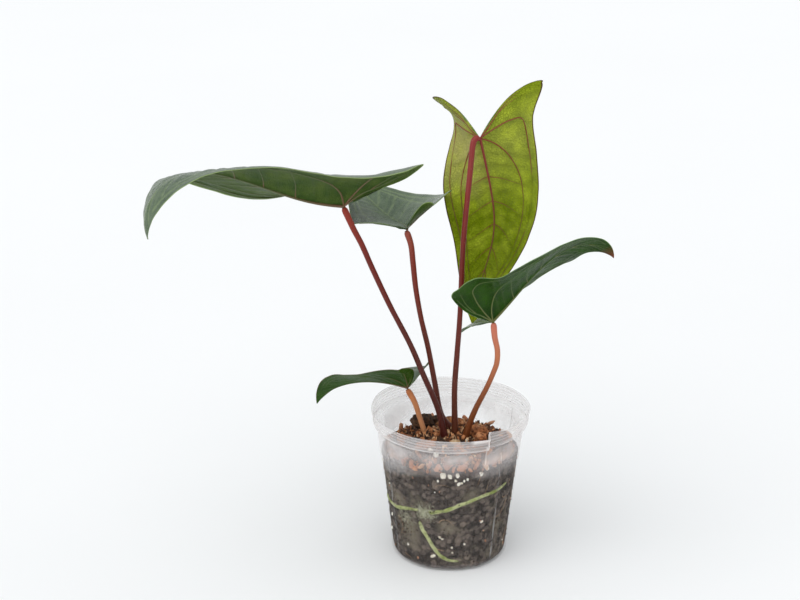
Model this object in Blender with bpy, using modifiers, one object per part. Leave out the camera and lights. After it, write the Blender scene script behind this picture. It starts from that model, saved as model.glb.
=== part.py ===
"""Potted anthurium: a young plant with five heart-shaped leaves in a clear nursery pot.

The origin is the centre of the pot's flat base, +Z is up, and the plant leans its
long leaf towards -X. Every size is in metres. Each physical piece is one object:
the pot, the potting mix, the buried stem, the roots against the wall, the bark
chips on the mix, and a stalk and a blade for each leaf.
"""

import math

import bmesh
import bpy
import numpy as np
from mathutils import Vector, noise

MM = 0.001
GAP = 0.3 * MM                 # clearance between pieces that touch

# The pot: a thin moulded cup with a ribbed rim band.
POT_HEIGHT = 107 * MM
BASE_RADIUS = 39.9 * MM        # outside, where the wall line meets the base
WALL_TOP_RADIUS = 50.9 * MM    # outside, just under the rim band
RIM_RADIUS = 55 * MM           # outside of the lip
RIM_BAND = 11 * MM             # height of the stepped band under the lip
RIB_COUNT = 3
RIB_DEPTH = 0.45 * MM
POT_WALL = 0.9 * MM
POT_FLOOR = 1.2 * MM
FOOT_ROUND = 4 * MM
DRAIN_COUNT = 8
DRAIN_RADIUS = 3.2 * MM
DRAIN_CIRCLE = 26 * MM
NOTCH_ANGLE = -62.0            # degrees round the rim, where the lip is split
NOTCH_WIDTH = 1.6 * MM
NOTCH_DEPTH = 4.5 * MM
POT_STEPS = 48

# The potting mix and the stem that stands in it.
MIX_EDGE = 76 * MM             # height where the mix meets the wall
MIX_MOUND = 12 * MM            # how much higher the middle is
MIX_ROUGHNESS = 0.8 * MM
STEM_RADIUS = 10.5 * MM
STEM_TOP = MIX_EDGE + 7 * MM
STEM_LENGTH = 40 * MM
STEM_CENTRE = (3 * MM, -0.5 * MM)

# Leaves.
BLADE_THICKNESS = 0.8 * MM
MARGIN_STEPS = 26
ACROSS_STEPS = 4
LOBE_NECK = 0.4                # share of the back lobe over which its spread sets in
STALK_RADIUS = 2.0 * MM
STALK_FOOT_RADIUS = 2.9 * MM
STALK_FOOT_LENGTH = 14 * MM
ROOT_RADIUS = 2.0 * MM

# The sizes at which the leaves and the chips below were drawn. They move with the
# mix, the lip and the stem when one of those is changed.
DRAWN_LIP = 107 * MM
DRAWN_EDGE = 76 * MM
DRAWN_CROWN = 95 * MM          # height where the stalks come free of the mix and the chips
DRAWN_STEM_RADIUS = 10.5 * MM

# The shape that every blade shares, from the stalk's joint round the back lobe to
# the tip: (place along the blade, distance from the midrib, where the line across
# the blade leaves the midrib). Behind the joint the place is a share of the lobe's
# length, in front of it a share of the blade's length.
BLADE_OUTLINE = (
    (0.00, 0.00, 0.00),
    (-0.12, 0.16, 0.00),
    (-0.42, 0.28, 0.00),
    (-0.80, 0.42, 0.00),
    (-1.00, 0.72, 0.00),
    (-0.86, 0.98, 0.00),
    (-0.42, 1.06, 0.00),
    (0.04, 0.98, 0.00),
    (0.22, 0.93, 0.09),
    (0.42, 0.80, 0.26),
    (0.62, 0.57, 0.47),
    (0.80, 0.30, 0.69),
    (0.93, 0.10, 0.88),
    (1.00, 0.00, 1.00),
)

# Each leaf: the joint where the blade meets its stalk, its sizes in millimetres and
# its bends in degrees. pitch and sway give the midrib's rise and sideways turn at
# four stations from joint to tip. fold and curl give each half's lift from the
# midrib and its bend towards the margin at five stations from the lobe to the tip.
# right is the half on the right for someone who looks along the leaf from above.
LEAVES = {
    1: dict(
        joint=(-71.7, -9.3, 257.3), length=174, half_width=66, lobes=(42, 35), lobe_spread=1.0,
        heading=204, pitch=(10, 24, 1, -110), sway=(2, 10, -16, 0),
        fold_right=(2, 6, -19, -25, -40), fold_left=(60, 61, 45, 23, 4),
        curl_right=(-20, -28, -11, -9, 7), curl_left=(-32, -54, -38, -13, -6),
        lobe_lift=(12, 1),
        stalk=((-3.5, -5.0, 86), (-8.5, -6.0, 108.4), (-18.9, -7.2, 135.1), (-27.8, -8.3, 157.7),
               (-41.3, -9.0, 185.7), (-52.7, -9.1, 211.7), (-60.0, -9.2, 229.5), (-65.9, -9.2, 241.6)),
    ),
    2: dict(
        joint=(-30.2, 21.0, 230.1), length=106, half_width=41, lobes=(25, 33), lobe_spread=0.55,
        heading=95, pitch=(-17, -3, 21, -52), sway=(13, -23, -31, -26),
        fold_right=(15, 44, 33, 18, 17), fold_left=(0, 22, 17, 12, 7),
        curl_right=(9, -9, -14, -15, -1), curl_left=(16, -35, -25, -8, 3),
        lobe_lift=(70, 20),
        stalk=((1.5, 6.2, 87), (-6.2, 6.5, 99.1), (-10.8, 8, 123.3), (-15.3, 10.7, 147.2),
               (-20.2, 13.5, 168), (-23.7, 16.3, 187.9), (-25.7, 18.8, 206.3), (-27.1, 20.5, 218.7)),
    ),
    3: dict(
        joint=(19.6, 39.0, 289.1), length=147, half_width=43, lobes=(38, 26), lobe_spread=1.0,
        heading=72, pitch=(-80, -79, -94, -83), sway=(10, 5, -15, -4),
        fold_right=(14, 30, 37, 38, 19), fold_left=(6, 26, 3, -12, -10),
        curl_right=(-2, 31, 21, 8, -2), curl_left=(32, 43, 11, 0, -3),
        lobe_lift=(90, 35),
        stalk=((3.5, -1, 86), (2.9, -2.4, 121.1), (4.3, -3, 147.4), (6.1, -2.9, 177.4),
               (8.3, 10.8, 224.4), (12.8, 28.7, 267.6), (14.8, 35.6, 285.9), (17.2, 37, 289.5)),
    ),
    4: dict(
        joint=(27.7, -11.9, 175.5), length=108, half_width=53, lobes=(19, 11), lobe_spread=1.0,
        heading=8, pitch=(38, 48, 24, -59), sway=(-22, -2, 3, -5),
        fold_right=(81, 68, 43, 37, 56), fold_left=(-2, -2, -23, -47, -43),
        curl_right=(-56, -21, -3, -5, 4), curl_left=(-24, -25, -14, 10, -2),
        lobe_lift=(60, 36),
        stalk=((10.3, -6.0, 86), (12.9, -7.8, 97.2), (17.5, -10.2, 111.0), (24.7, -13.1, 127.9),
               (29.3, -13.7, 140.0), (31.2, -13.4, 146.5), (31.4, -12.9, 155.2), (29.5, -12.5, 164.5)),
    ),
    5: dict(
        joint=(-29.2, 8.0, 118.2), length=83, half_width=33, lobes=(2, 8), lobe_spread=1.0,
        heading=158, pitch=(8, -9, -30, -57), sway=(2, 3, 8, 13),
        fold_right=(22, 11, -6, -5, 1), fold_left=(64, 51, 32, 41, 44),
        curl_right=(-11, -6, -2, 0, 1), curl_left=(-29, -12, -4, 0, 2),
        lobe_lift=(20, 32),
        stalk=((-8.2, 2.6, 68), (-13.5, 4.4, 78), (-17.9, 6.0, 87.1), (-21.0, 7.2, 96.5), (-24.5, 8.0, 107.5)),
    ),
}

# Roots that run against the inside of the wall: (degrees round the pot, height in mm).
ROOTS = {
    1: ((-172, 44), (-158, 42), (-144, 43), (-130, 46), (-117, 47)),
    2: ((-108, 47), (-94, 50), (-80, 54), (-64, 58), (-48, 59), (-28, 60)),
    3: ((-121, 35), (-113, 25), (-104, 15), (-94, 9.5), (-80, 8)),
    4: ((36, 62), (60, 48), (84, 40), (104, 30)),
}

# Bark and husk chips on the mix: middle of the chip in mm, size in mm, turn in
# degrees, tilt in degrees, colour name.
CHIPS = {
    "dark_husk_chunk": ((-19, 16, 89.5), (17, 12, 9), 20, 8, "dark_bark"),
    "orange_chip_left": ((-32, -2.5, 85.0), (10, 8, 5), -15, 10, "orange_bark"),
    "grey_bark_strip": ((-25.5, -10.5, 86.5), (12, 6, 4), 20, 5, "grey_bark"),
    "front_bark_chip": ((-17, -18, 87.0), (14, 9, 6), 10, -12, "orange_bark"),
    "small_chip_front": ((-6.5, -15.5, 87.6), (7, 6, 4.5), 40, 6, "dark_bark"),
    "cream_chip": ((3.5, -15.5, 87.8), (6.5, 5, 4), -20, 5, "cream_bark"),
    "husk_chunk_right": ((20.5, 0.5, 88.5), (12, 14, 8), 15, -6, "orange_bark"),
    "standing_chip": ((21, -11.5, 88.6), (8, 5, 9), -10, 12, "orange_bark"),
    "edge_chip_right": ((33, -6, 84.0), (9, 10, 4.5), 30, 10, "dark_bark"),
    "back_bark_chip": ((4, 19, 87.5), (14, 9, 6), -25, 6, "orange_bark"),
    "back_dark_chip": ((-8, 29.5, 85.0), (12, 9, 5.5), 35, -8, "dark_bark"),
}

COLOURS = {
    "clear_plastic": ((0.86, 0.88, 0.88, 1.0), 0.25),
    "mix": ((0.075, 0.062, 0.052, 1.0), 0.95),
    "stem": ((0.20, 0.14, 0.07, 1.0), 0.7),
    "stalk": ((0.22, 0.045, 0.03, 1.0), 0.4),
    "young_stalk": ((0.55, 0.20, 0.10, 1.0), 0.4),
    "green_blade": ((0.05, 0.13, 0.035, 1.0), 0.4),
    "pale_blade": ((0.26, 0.34, 0.05, 1.0), 0.4),
    "root": ((0.35, 0.36, 0.12, 1.0), 0.6),
    "orange_bark": ((0.42, 0.16, 0.06, 1.0), 0.85),
    "dark_bark": ((0.06, 0.035, 0.022, 1.0), 0.9),
    "grey_bark": ((0.11, 0.09, 0.08, 1.0), 0.9),
    "cream_bark": ((0.70, 0.55, 0.36, 1.0), 0.8),
}
BLADE_COLOURS = {1: "green_blade", 2: "green_blade", 3: "pale_blade", 4: "green_blade", 5: "green_blade"}
STALK_COLOURS = {1: "stalk", 2: "stalk", 3: "stalk", 4: "young_stalk", 5: "young_stalk"}


# ---- helpers -------------------------------------------------------------------

def clear_scene():
    for old in list(bpy.data.objects):
        bpy.data.objects.remove(old, do_unlink=True)


def make_material(name, colour_name):
    colour, roughness = COLOURS[colour_name]
    material = bpy.data.materials.new(name)
    material.use_nodes = True
    shader = material.node_tree.nodes["Principled BSDF"]
    shader.inputs["Base Color"].default_value = colour
    shader.inputs["Roughness"].default_value = roughness
    material.diffuse_color = colour
    return material


def add_object(name, data, group, colour_name=None):
    made = bpy.data.objects.new(name, data)
    group.objects.link(made)
    if colour_name:
        data.materials.append(make_material(name, colour_name))
    return made


def mesh_from(builder, name):
    mesh = bpy.data.meshes.new(name)
    builder.to_mesh(mesh)
    builder.free()
    mesh.shade_smooth()
    return mesh


def track(values, where):
    """A smooth curve through values spaced evenly, read at the places where (0 to len - 1)."""
    points = np.asarray(values, dtype=float)
    if points.ndim == 1:
        points = points[:, None]
    ends = np.vstack([2 * points[0] - points[1], points, 2 * points[-1] - points[-2]])
    last = len(points) - 1
    where = np.clip(np.asarray(where, dtype=float), 0, last)
    i = np.minimum(where.astype(int), last - 1)
    t = (where - i)[:, None]
    p0, p1, p2, p3 = ends[i], ends[i + 1], ends[i + 2], ends[i + 3]
    smooth = 2 * p1 + (p2 - p0) * t + (2 * p0 - 5 * p1 + 4 * p2 - p3) * t**2
    return 0.5 * (smooth + (3 * p1 - 3 * p2 + p3 - p0) * t**3)


def even_path(points, spacing):
    """Points spaced evenly along a smooth curve through points."""
    fine = track(points, np.linspace(0, len(points) - 1, 40 * len(points)))
    travelled = np.concatenate([[0], np.cumsum(np.linalg.norm(np.diff(fine, axis=0), axis=1))])
    count = max(2, round(travelled[-1] / spacing) + 1)
    stops = np.linspace(0, travelled[-1], count)
    return np.stack([np.interp(stops, travelled, fine[:, k]) for k in range(3)], axis=1)


def tube_mesh(name, points, radii):
    """A closed round tube through points, as a mesh."""
    curve = bpy.data.curves.new(name, "CURVE")
    curve.dimensions = "3D"
    curve.bevel_depth = 1.0
    curve.bevel_resolution = 2
    curve.use_fill_caps = True
    spline = curve.splines.new("POLY")
    spline.points.add(len(points) - 1)
    for point, place, radius in zip(spline.points, points, radii):
        point.co = (*place, 1.0)
        point.radius = radius
    helper = bpy.data.objects.new(name + "_route", curve)
    bpy.context.scene.collection.objects.link(helper)
    graph = bpy.context.evaluated_depsgraph_get()
    mesh = bpy.data.meshes.new_from_object(helper.evaluated_get(graph))
    bpy.data.objects.remove(helper, do_unlink=True)
    builder = bmesh.new()
    builder.from_mesh(mesh)
    bmesh.ops.remove_doubles(builder, verts=builder.verts, dist=1e-6)
    bmesh.ops.recalc_face_normals(builder, faces=builder.faces)
    bpy.data.meshes.remove(mesh)
    return mesh_from(builder, name)


def cut(target, cutters, name):
    """Takes every object of the cutters collection out of target."""
    modifier = target.modifiers.new(name, "BOOLEAN")
    modifier.operation = "DIFFERENCE"
    modifier.operand_type = "COLLECTION"
    modifier.collection = cutters
    modifier.solver = "EXACT"


def new_group(name, parent):
    group = bpy.data.collections.new(name)
    parent.children.link(group)
    return group


def hide_cutter(cutter):
    cutter.hide_render = True
    cutter.display_type = "WIRE"
    return cutter


# ---- pot -----------------------------------------------------------------------

def wall_radius(height):
    """Outside radius of the plain wall at a height."""
    return BASE_RADIUS + (WALL_TOP_RADIUS - BASE_RADIUS) * height / (POT_HEIGHT - RIM_BAND)


def inner_radius(height):
    return wall_radius(height) - POT_WALL


def foot_arc(radius, bottom, round_radius, steps=4):
    """The rounded corner between the floor and the wall, from the floor up."""
    angles = [math.pi / 2 * k / steps for k in range(steps + 1)]
    return [(radius - round_radius + round_radius * math.sin(a),
             bottom + round_radius - round_radius * math.cos(a)) for a in angles]


def rim_outline():
    """The outer side of the rim band, from the ledge up to the lip."""
    ledge = POT_HEIGHT - RIM_BAND
    band = RIM_RADIUS - 1.6 * MM
    points = [(WALL_TOP_RADIUS, ledge), (band - 0.6 * MM, ledge + 0.7 * MM)]
    pitch = (RIM_BAND - 3.4 * MM) / RIB_COUNT
    for rib in range(RIB_COUNT):
        middle = ledge + 1.9 * MM + pitch * rib
        points += [(band, middle - 0.9 * MM), (band + RIB_DEPTH, middle), (band, middle + 0.9 * MM)]
    points += [(RIM_RADIUS, POT_HEIGHT - 1.5 * MM), (RIM_RADIUS, POT_HEIGHT - 0.4 * MM)]
    return points


def make_pot(parts, cutters):
    ledge = POT_HEIGHT - RIM_BAND
    foot = foot_arc(wall_radius(FOOT_ROUND), 0.0, FOOT_ROUND)
    inner_foot = foot_arc(inner_radius(FOOT_ROUND), POT_FLOOR, FOOT_ROUND - POT_WALL)
    inside = [(0.0, POT_FLOOR)] + inner_foot + [
        (inner_radius(ledge) + 0.1 * MM, ledge + 0.2 * MM),
        (RIM_RADIUS - 1.6 * MM - POT_WALL, ledge + 1.4 * MM),
        (RIM_RADIUS - 1.6 * MM - POT_WALL + 0.2 * MM, POT_HEIGHT - 1.6 * MM),
        (RIM_RADIUS - 1.5 * MM, POT_HEIGHT - 0.3 * MM),
        (RIM_RADIUS - 1.2 * MM, POT_HEIGHT),
        (RIM_RADIUS - 0.4 * MM, POT_HEIGHT),
    ]
    outside = foot + rim_outline()
    profile = inside + outside[::-1] + [(0.0, 0.0)]
    builder = bmesh.new()
    points = [builder.verts.new((radius, 0.0, height)) for radius, height in profile]
    for first, second in zip(points, points[1:]):
        builder.edges.new((first, second))
    pot = add_object("clear_pot", mesh_from(builder, "clear_pot"), parts, "clear_plastic")
    turned = pot.modifiers.new("turn", "SCREW")
    turned.axis = "Z"
    turned.steps = POT_STEPS
    turned.render_steps = POT_STEPS
    turned.use_merge_vertices = True
    turned.merge_threshold = 0.00001
    turned.use_smooth_shade = True
    for k in range(DRAIN_COUNT):
        angle = 2 * math.pi * k / DRAIN_COUNT
        builder = bmesh.new()
        bmesh.ops.create_cone(builder, cap_ends=True, segments=16, radius1=DRAIN_RADIUS,
                              radius2=DRAIN_RADIUS, depth=4 * POT_FLOOR)
        hole = add_object(f"drain_cutter_{k + 1}", mesh_from(builder, "drain_cutter"), cutters)
        hole.location = (DRAIN_CIRCLE * math.cos(angle), DRAIN_CIRCLE * math.sin(angle), 0.0)
        hide_cutter(hole)
    builder = bmesh.new()
    bmesh.ops.create_cube(builder, size=1.0)
    bmesh.ops.scale(builder, vec=(8 * MM, NOTCH_WIDTH, 2 * NOTCH_DEPTH), verts=builder.verts)
    notch = add_object("notch_cutter", mesh_from(builder, "notch_cutter"), cutters)
    angle = math.radians(NOTCH_ANGLE)
    notch.location = (RIM_RADIUS * math.cos(angle), RIM_RADIUS * math.sin(angle), POT_HEIGHT)
    notch.rotation_euler = (0.0, 0.0, angle)
    hide_cutter(notch)
    cut(pot, cutters, "drain holes and notch")
    return pot


# ---- potting mix -----------------------------------------------------------------

def mix_top(x, y):
    """Height of the mix's upper side."""
    share = min(1.0, math.hypot(x, y) / inner_radius(MIX_EDGE))
    return MIX_EDGE + MIX_MOUND * (1 - share**2) ** 0.8


def make_mix(parts, cutters, around=48, rings=9):
    """The mix fills the pot up to its mound. A grid is wrapped round the axis."""
    floor = POT_FLOOR + GAP
    edge = MIX_EDGE
    profile = [(0.0, floor), (0.5 * BASE_RADIUS, floor)]
    profile += [(r - GAP, h + GAP) for r, h in foot_arc(inner_radius(FOOT_ROUND), POT_FLOOR, FOOT_ROUND - POT_WALL)]
    profile += [(inner_radius(h) - GAP, h) for h in np.linspace(12 * MM, edge, 6)]
    top_radius = profile[-1][0]
    builder = bmesh.new()
    columns = len(profile) + rings
    bmesh.ops.create_grid(builder, x_segments=around, y_segments=columns - 1, size=1.0)
    for vert in builder.verts:
        angle = math.pi * (vert.co.x + 1)
        row = round((vert.co.y + 1) / 2 * (columns - 1))
        if row < len(profile):
            radius, height = profile[row]
            vert.co = (radius * math.cos(angle), radius * math.sin(angle), height)
            continue
        radius = top_radius * (1 - (row - len(profile) + 1) / rings)
        x, y = radius * math.cos(angle), radius * math.sin(angle)
        bump = noise.noise(Vector((x, y, 0.0)) / (4 * MM)) * MIX_ROUGHNESS
        vert.co = (x, y, mix_top(x, y) + bump)
    bmesh.ops.remove_doubles(builder, verts=builder.verts, dist=1e-6)
    bmesh.ops.recalc_face_normals(builder, faces=builder.faces)
    mix = add_object("potting_mix", mesh_from(builder, "potting_mix"), parts, "mix")
    cut(mix, cutters, "room for stem, roots and chips")
    return mix


def make_stem(parts, cutters):
    """The short buried stem that carries the stalks and the roots."""
    builder = bmesh.new()
    bmesh.ops.create_cone(builder, cap_ends=True, segments=20, radius1=0.6 * STEM_RADIUS,
                          radius2=STEM_RADIUS, depth=STEM_LENGTH)
    stem = add_object("stem_base", mesh_from(builder, "stem_base"), parts, "stem")
    stem.location = (*STEM_CENTRE, STEM_TOP - STEM_LENGTH / 2)
    builder = bmesh.new()
    bmesh.ops.create_cone(builder, cap_ends=True, segments=20, radius1=0.6 * STEM_RADIUS + GAP,
                          radius2=STEM_RADIUS + GAP, depth=STEM_LENGTH + 2 * GAP)
    room = add_object("stem_cutter", mesh_from(builder, "stem_cutter"), cutters)
    room.location = stem.location
    hide_cutter(room)


# ---- stalks and roots --------------------------------------------------------------

def set_in_pot(points):
    """Drawn points, moved with the mix under the crown and with the lip above the lip."""
    above = np.clip((points[:, 2] - DRAWN_CROWN) / (DRAWN_LIP - DRAWN_CROWN), 0, 1)
    rise = (1 - above) * (MIX_EDGE - DRAWN_EDGE) + above * (POT_HEIGHT - DRAWN_LIP)
    return points + rise[:, None] * np.array([0.0, 0.0, 1.0])


def leaf_joint(leaf):
    return set_in_pot(np.array([leaf["joint"]]) * MM)[0]


def clear_of_stem(route):
    """A stalk that leaves the stem's side starts further out where the stem is thicker."""
    if route[0, 2] > STEM_TOP:
        return route
    outward = (route - np.array([*STEM_CENTRE, 0.0])) * np.array([1.0, 1.0, 0.0])
    outward /= np.linalg.norm(outward, axis=1)[:, None]
    near = np.clip((STEM_TOP + 5 * MM - route[:, 2]) / (15 * MM), 0, 1)
    return route + outward * (near * (STEM_RADIUS - DRAWN_STEM_RADIUS))[:, None]


def stalk_radii(points):
    """A stalk is thicker where it leaves the stem."""
    travelled = np.concatenate([[0], np.cumsum(np.linalg.norm(np.diff(points, axis=0), axis=1))])
    foot = np.clip(1 - travelled / STALK_FOOT_LENGTH, 0, 1) ** 2
    return STALK_RADIUS + (STALK_FOOT_RADIUS - STALK_RADIUS) * foot


def make_stalk(number, leaf, parts, cutters):
    route = clear_of_stem(set_in_pot(np.array(leaf["stalk"]) * MM))
    under = leaf_joint(leaf) - blade_frame(leaf)["up"][0] * (BLADE_THICKNESS / 2 + STALK_RADIUS * 0.6)
    points = even_path([*route, under], 7 * MM)
    radii = stalk_radii(points)
    add_object(f"leaf_stalk_{number}", tube_mesh("stalk", points, radii), parts, STALK_COLOURS[number])
    buried = points[points[:, 2] < MIX_EDGE + MIX_MOUND + 6 * MM]
    radii = stalk_radii(points)[: len(buried)] + GAP * 1.3
    start = buried[0] - (buried[1] - buried[0]) * 0.4
    room = tube_mesh("stalk_cutter", np.vstack([start, buried]), np.concatenate([radii[:1], radii]))
    hide_cutter(add_object(f"stalk_cutter_{number}", room, cutters))


def root_route(number):
    """From the stem's side out to the wall, then along the wall."""
    wall = []
    for angle, height in ROOTS[number]:
        radius = inner_radius(height * MM) - ROOT_RADIUS - GAP
        turn = math.radians(angle)
        wall.append((radius * math.cos(turn), radius * math.sin(turn), height * MM))
    first = np.array(wall[0])
    centre = np.array([*STEM_CENTRE, 0.0])
    outward = first - centre
    outward[2] = 0.0
    outward /= np.linalg.norm(outward)
    height = min(max(first[2] + 8 * MM, STEM_TOP - STEM_LENGTH + 6 * MM), STEM_TOP - 8 * MM)
    share = (height - STEM_TOP + STEM_LENGTH) / STEM_LENGTH
    reach = STEM_RADIUS * (0.6 + 0.4 * share) + 2 * GAP
    start = centre + outward * (reach + 0.3 * MM) + np.array([0, 0, height])
    middle = centre + outward * (reach + 12 * MM) + np.array([0, 0, height - 1 * MM])
    points = even_path([start, middle] + wall, 5.5 * MM)
    for point in points:
        limit = inner_radius(point[2]) - ROOT_RADIUS - 1.6 * GAP
        point[:2] *= min(1.0, limit / math.hypot(point[0], point[1]))
    return points


def make_root(number, parts, cutters):
    points = root_route(number)
    taper = np.linspace(1.0, 0.7, len(points))
    add_object(f"root_{number}", tube_mesh("root", points, ROOT_RADIUS * taper), parts, "root")
    start = points[0] - (points[1] - points[0]) * 0.3
    finish = points[-1] + (points[-1] - points[-2]) * 0.15
    room = tube_mesh("root_cutter", np.vstack([start, points, finish]),
                     ROOT_RADIUS * np.concatenate([[1.0], taper, [0.7]]) + 1.3 * GAP)
    hide_cutter(add_object(f"root_cutter_{number}", room, cutters))


# ---- blades ------------------------------------------------------------------------

def blade_frame(leaf, steps=60):
    """The midrib: its points, direction, right side and upper side, from joint to tip."""
    heading = math.radians(leaf["heading"])
    ahead = np.array([math.cos(heading), math.sin(heading), 0.0])
    right = np.array([math.sin(heading), -math.cos(heading), 0.0])
    share = np.linspace(0, 1, steps + 1)
    pitch = np.radians(track(leaf["pitch"], share * (len(leaf["pitch"]) - 1)))
    sway = np.radians(track(leaf["sway"], share * (len(leaf["sway"]) - 1)))
    along = np.cos(sway) * np.cos(pitch) * ahead + np.cos(sway) * np.sin(pitch) * np.array([0, 0, 1.0])
    along += np.sin(sway) * right
    step = leaf["length"] * MM / steps
    middles = (along[1:] + along[:-1]) / 2
    points = np.vstack([np.zeros(3), np.cumsum(middles * step, axis=0)]) + leaf_joint(leaf)
    sides = np.zeros_like(along)
    side = right
    for k, direction in enumerate(along):
        side = side - direction * np.dot(side, direction)
        side = side / np.linalg.norm(side)
        sides[k] = side
    return dict(at=share * leaf["length"] * MM, points=points, along=along, side=sides,
                up=np.cross(sides, along))


def blade_points(leaf, side, place, across):
    """Points on one half of a blade: place runs along the midrib, across towards the margin."""
    frame = blade_frame(leaf)
    length = leaf["length"] * MM
    half_width = leaf["half_width"] * MM
    lobe = leaf["lobes"][0 if side > 0 else 1] * MM
    half = "right" if side > 0 else "left"
    lift = math.radians(leaf["lobe_lift"][0 if side > 0 else 1])
    on_rib = np.clip(place, 0, length)
    rib, along, out, up = (np.stack([np.interp(on_rib, frame["at"], frame[key][:, k]) for k in range(3)], axis=1)
                           for key in ("points", "along", "side", "up"))
    station = np.where(place < 0, place / lobe, 3 * place / length) + 1
    fold = np.radians(track(leaf["fold_" + half], station)[:, 0])
    bend = np.radians(track(leaf["curl_" + half], station)[:, 0]) * across / half_width
    chord = across * np.sinc(bend / 2 / np.pi)
    behind = -np.minimum(place, 0)
    tip_up = lift * behind / lobe
    back = behind * np.sinc(tip_up / 2 / np.pi)
    points = rib - along * (back * np.cos(tip_up / 2))[:, None]
    points += up * (back * np.sin(tip_up / 2) + chord * np.sin(fold + bend / 2))[:, None]
    return points + side * out * (chord * np.cos(fold + bend / 2))[:, None]


def make_blade(number, leaf, parts):
    length = leaf["length"] * MM
    builder = bmesh.new()
    for side in (1, -1):
        lobe = leaf["lobes"][0 if side > 0 else 1] * MM
        grid = bmesh.ops.create_grid(builder, x_segments=MARGIN_STEPS, y_segments=ACROSS_STEPS, size=1.0)
        verts = grid["verts"]
        round_edge = np.array([(v.co.x + 1) / 2 for v in verts]) * (len(BLADE_OUTLINE) - 1)
        outward = np.array([(v.co.y + 1) / 2 for v in verts])
        outline = track(BLADE_OUTLINE, round_edge)
        edge_place = np.where(outline[:, 0] < 0, outline[:, 0] * lobe, outline[:, 0] * length)
        rib_place = np.clip(outline[:, 2], 0, 1) * length
        place = rib_place + (edge_place - rib_place) * outward
        drawn_in = 1 + (leaf["lobe_spread"] - 1) * np.clip(-outline[:, 0] / LOBE_NECK, 0, 1)
        across = np.maximum(outline[:, 1], 0) * leaf["half_width"] * MM * outward * drawn_in
        for vert, point in zip(verts, blade_points(leaf, side, place, across)):
            vert.co = point
        if side < 0:
            bmesh.ops.reverse_faces(builder, faces=list({f for v in verts for f in v.link_faces}))
    bmesh.ops.remove_doubles(builder, verts=builder.verts, dist=0.02 * MM)
    bmesh.ops.recalc_face_normals(builder, faces=builder.faces)
    blade = add_object(f"leaf_blade_{number}", mesh_from(builder, "leaf_blade"), parts, BLADE_COLOURS[number])
    shell = blade.modifiers.new("thickness", "SOLIDIFY")
    shell.thickness = BLADE_THICKNESS
    shell.offset = 0.0
    shell.use_quality_normals = True


# ---- chips ---------------------------------------------------------------------------

def chip_mesh(name, size, swell):
    """A broken lump of bark: a ball with flattened, uneven faces."""
    builder = bmesh.new()
    bmesh.ops.create_icosphere(builder, subdivisions=2, radius=1.0)
    half = Vector(size) * MM / 2
    for vert in builder.verts:
        rough = 1 + 0.22 * noise.noise(vert.co * 1.7 + Vector(size))
        flat = Vector([math.copysign(abs(c) ** 0.7, c) for c in vert.co]) * rough
        vert.co = Vector([flat[k] * half[k] for k in range(3)]) + vert.co * swell
    return mesh_from(builder, name)


def make_chip(name, parts, cutters):
    centre, size, turn, tilt, colour = CHIPS[name]
    draw_in = inner_radius(MIX_EDGE) / inner_radius(DRAWN_EDGE)
    on_mix = Vector((centre[0] * draw_in, centre[1] * draw_in, centre[2])) * MM
    on_mix.z += MIX_EDGE - DRAWN_EDGE
    for swell, group in ((0.0, parts), (1.5 * GAP, cutters)):
        label = name if group is parts else name + "_cutter"
        chip = add_object(label, chip_mesh(label, size, swell), group, colour if group is parts else None)
        chip.location = on_mix
        chip.rotation_euler = (math.radians(tilt), math.radians(tilt / 2), math.radians(turn))
        if group is cutters:
            hide_cutter(chip)


# ---- build ---------------------------------------------------------------------------

def main():
    clear_scene()
    scene_root = bpy.context.scene.collection
    parts = new_group("potted_anthurium", scene_root)
    pot_cutters = new_group("pot_cutters", scene_root)
    mix_cutters = new_group("mix_cutters", scene_root)
    make_pot(parts, pot_cutters)
    make_stem(parts, mix_cutters)
    for number, leaf in LEAVES.items():
        make_stalk(number, leaf, parts, mix_cutters)
        make_blade(number, leaf, parts)
    for number in ROOTS:
        make_root(number, parts, mix_cutters)
    for name in CHIPS:
        make_chip(name, parts, mix_cutters)
    make_mix(parts, mix_cutters)


main()
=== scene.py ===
# %% [markdown]
# # A potted anthurium
# A young anthurium stands in a soft clear nursery pot: five heart-shaped leaves on thin red
# stalks, a mound of bark mix, and pale roots that run against the clear wall. This lesson
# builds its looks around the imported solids, one piece and one finish at a time. Every size
# is in metres, written as millimetres times MM.

import math
import random

import bmesh
import bpy
import numpy as np
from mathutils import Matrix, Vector, noise


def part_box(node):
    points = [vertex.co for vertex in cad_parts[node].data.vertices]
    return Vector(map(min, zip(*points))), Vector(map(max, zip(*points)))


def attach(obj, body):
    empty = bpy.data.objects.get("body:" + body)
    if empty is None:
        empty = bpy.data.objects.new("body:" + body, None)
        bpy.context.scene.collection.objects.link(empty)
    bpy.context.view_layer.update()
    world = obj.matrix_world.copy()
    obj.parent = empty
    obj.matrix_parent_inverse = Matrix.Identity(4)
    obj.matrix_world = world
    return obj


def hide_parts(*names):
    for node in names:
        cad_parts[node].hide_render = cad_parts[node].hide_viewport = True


MM = 0.001
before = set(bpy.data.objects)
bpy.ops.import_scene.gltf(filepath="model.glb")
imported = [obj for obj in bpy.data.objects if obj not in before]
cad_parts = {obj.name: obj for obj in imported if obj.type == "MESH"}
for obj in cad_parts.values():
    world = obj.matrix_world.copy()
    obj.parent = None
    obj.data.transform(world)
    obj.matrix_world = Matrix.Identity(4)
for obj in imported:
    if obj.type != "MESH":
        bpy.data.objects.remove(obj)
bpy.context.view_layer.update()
print("solids:", len(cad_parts))

# %% [markdown]
# ## Camera, floor and light
# A long lens looks slightly down, as for a catalogue picture. The floor is one pale sheet
# that fills the view, and the light is a white surround with one broad, soft sun, so the
# floor stays even and the shadow under the pot is faint.

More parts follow.
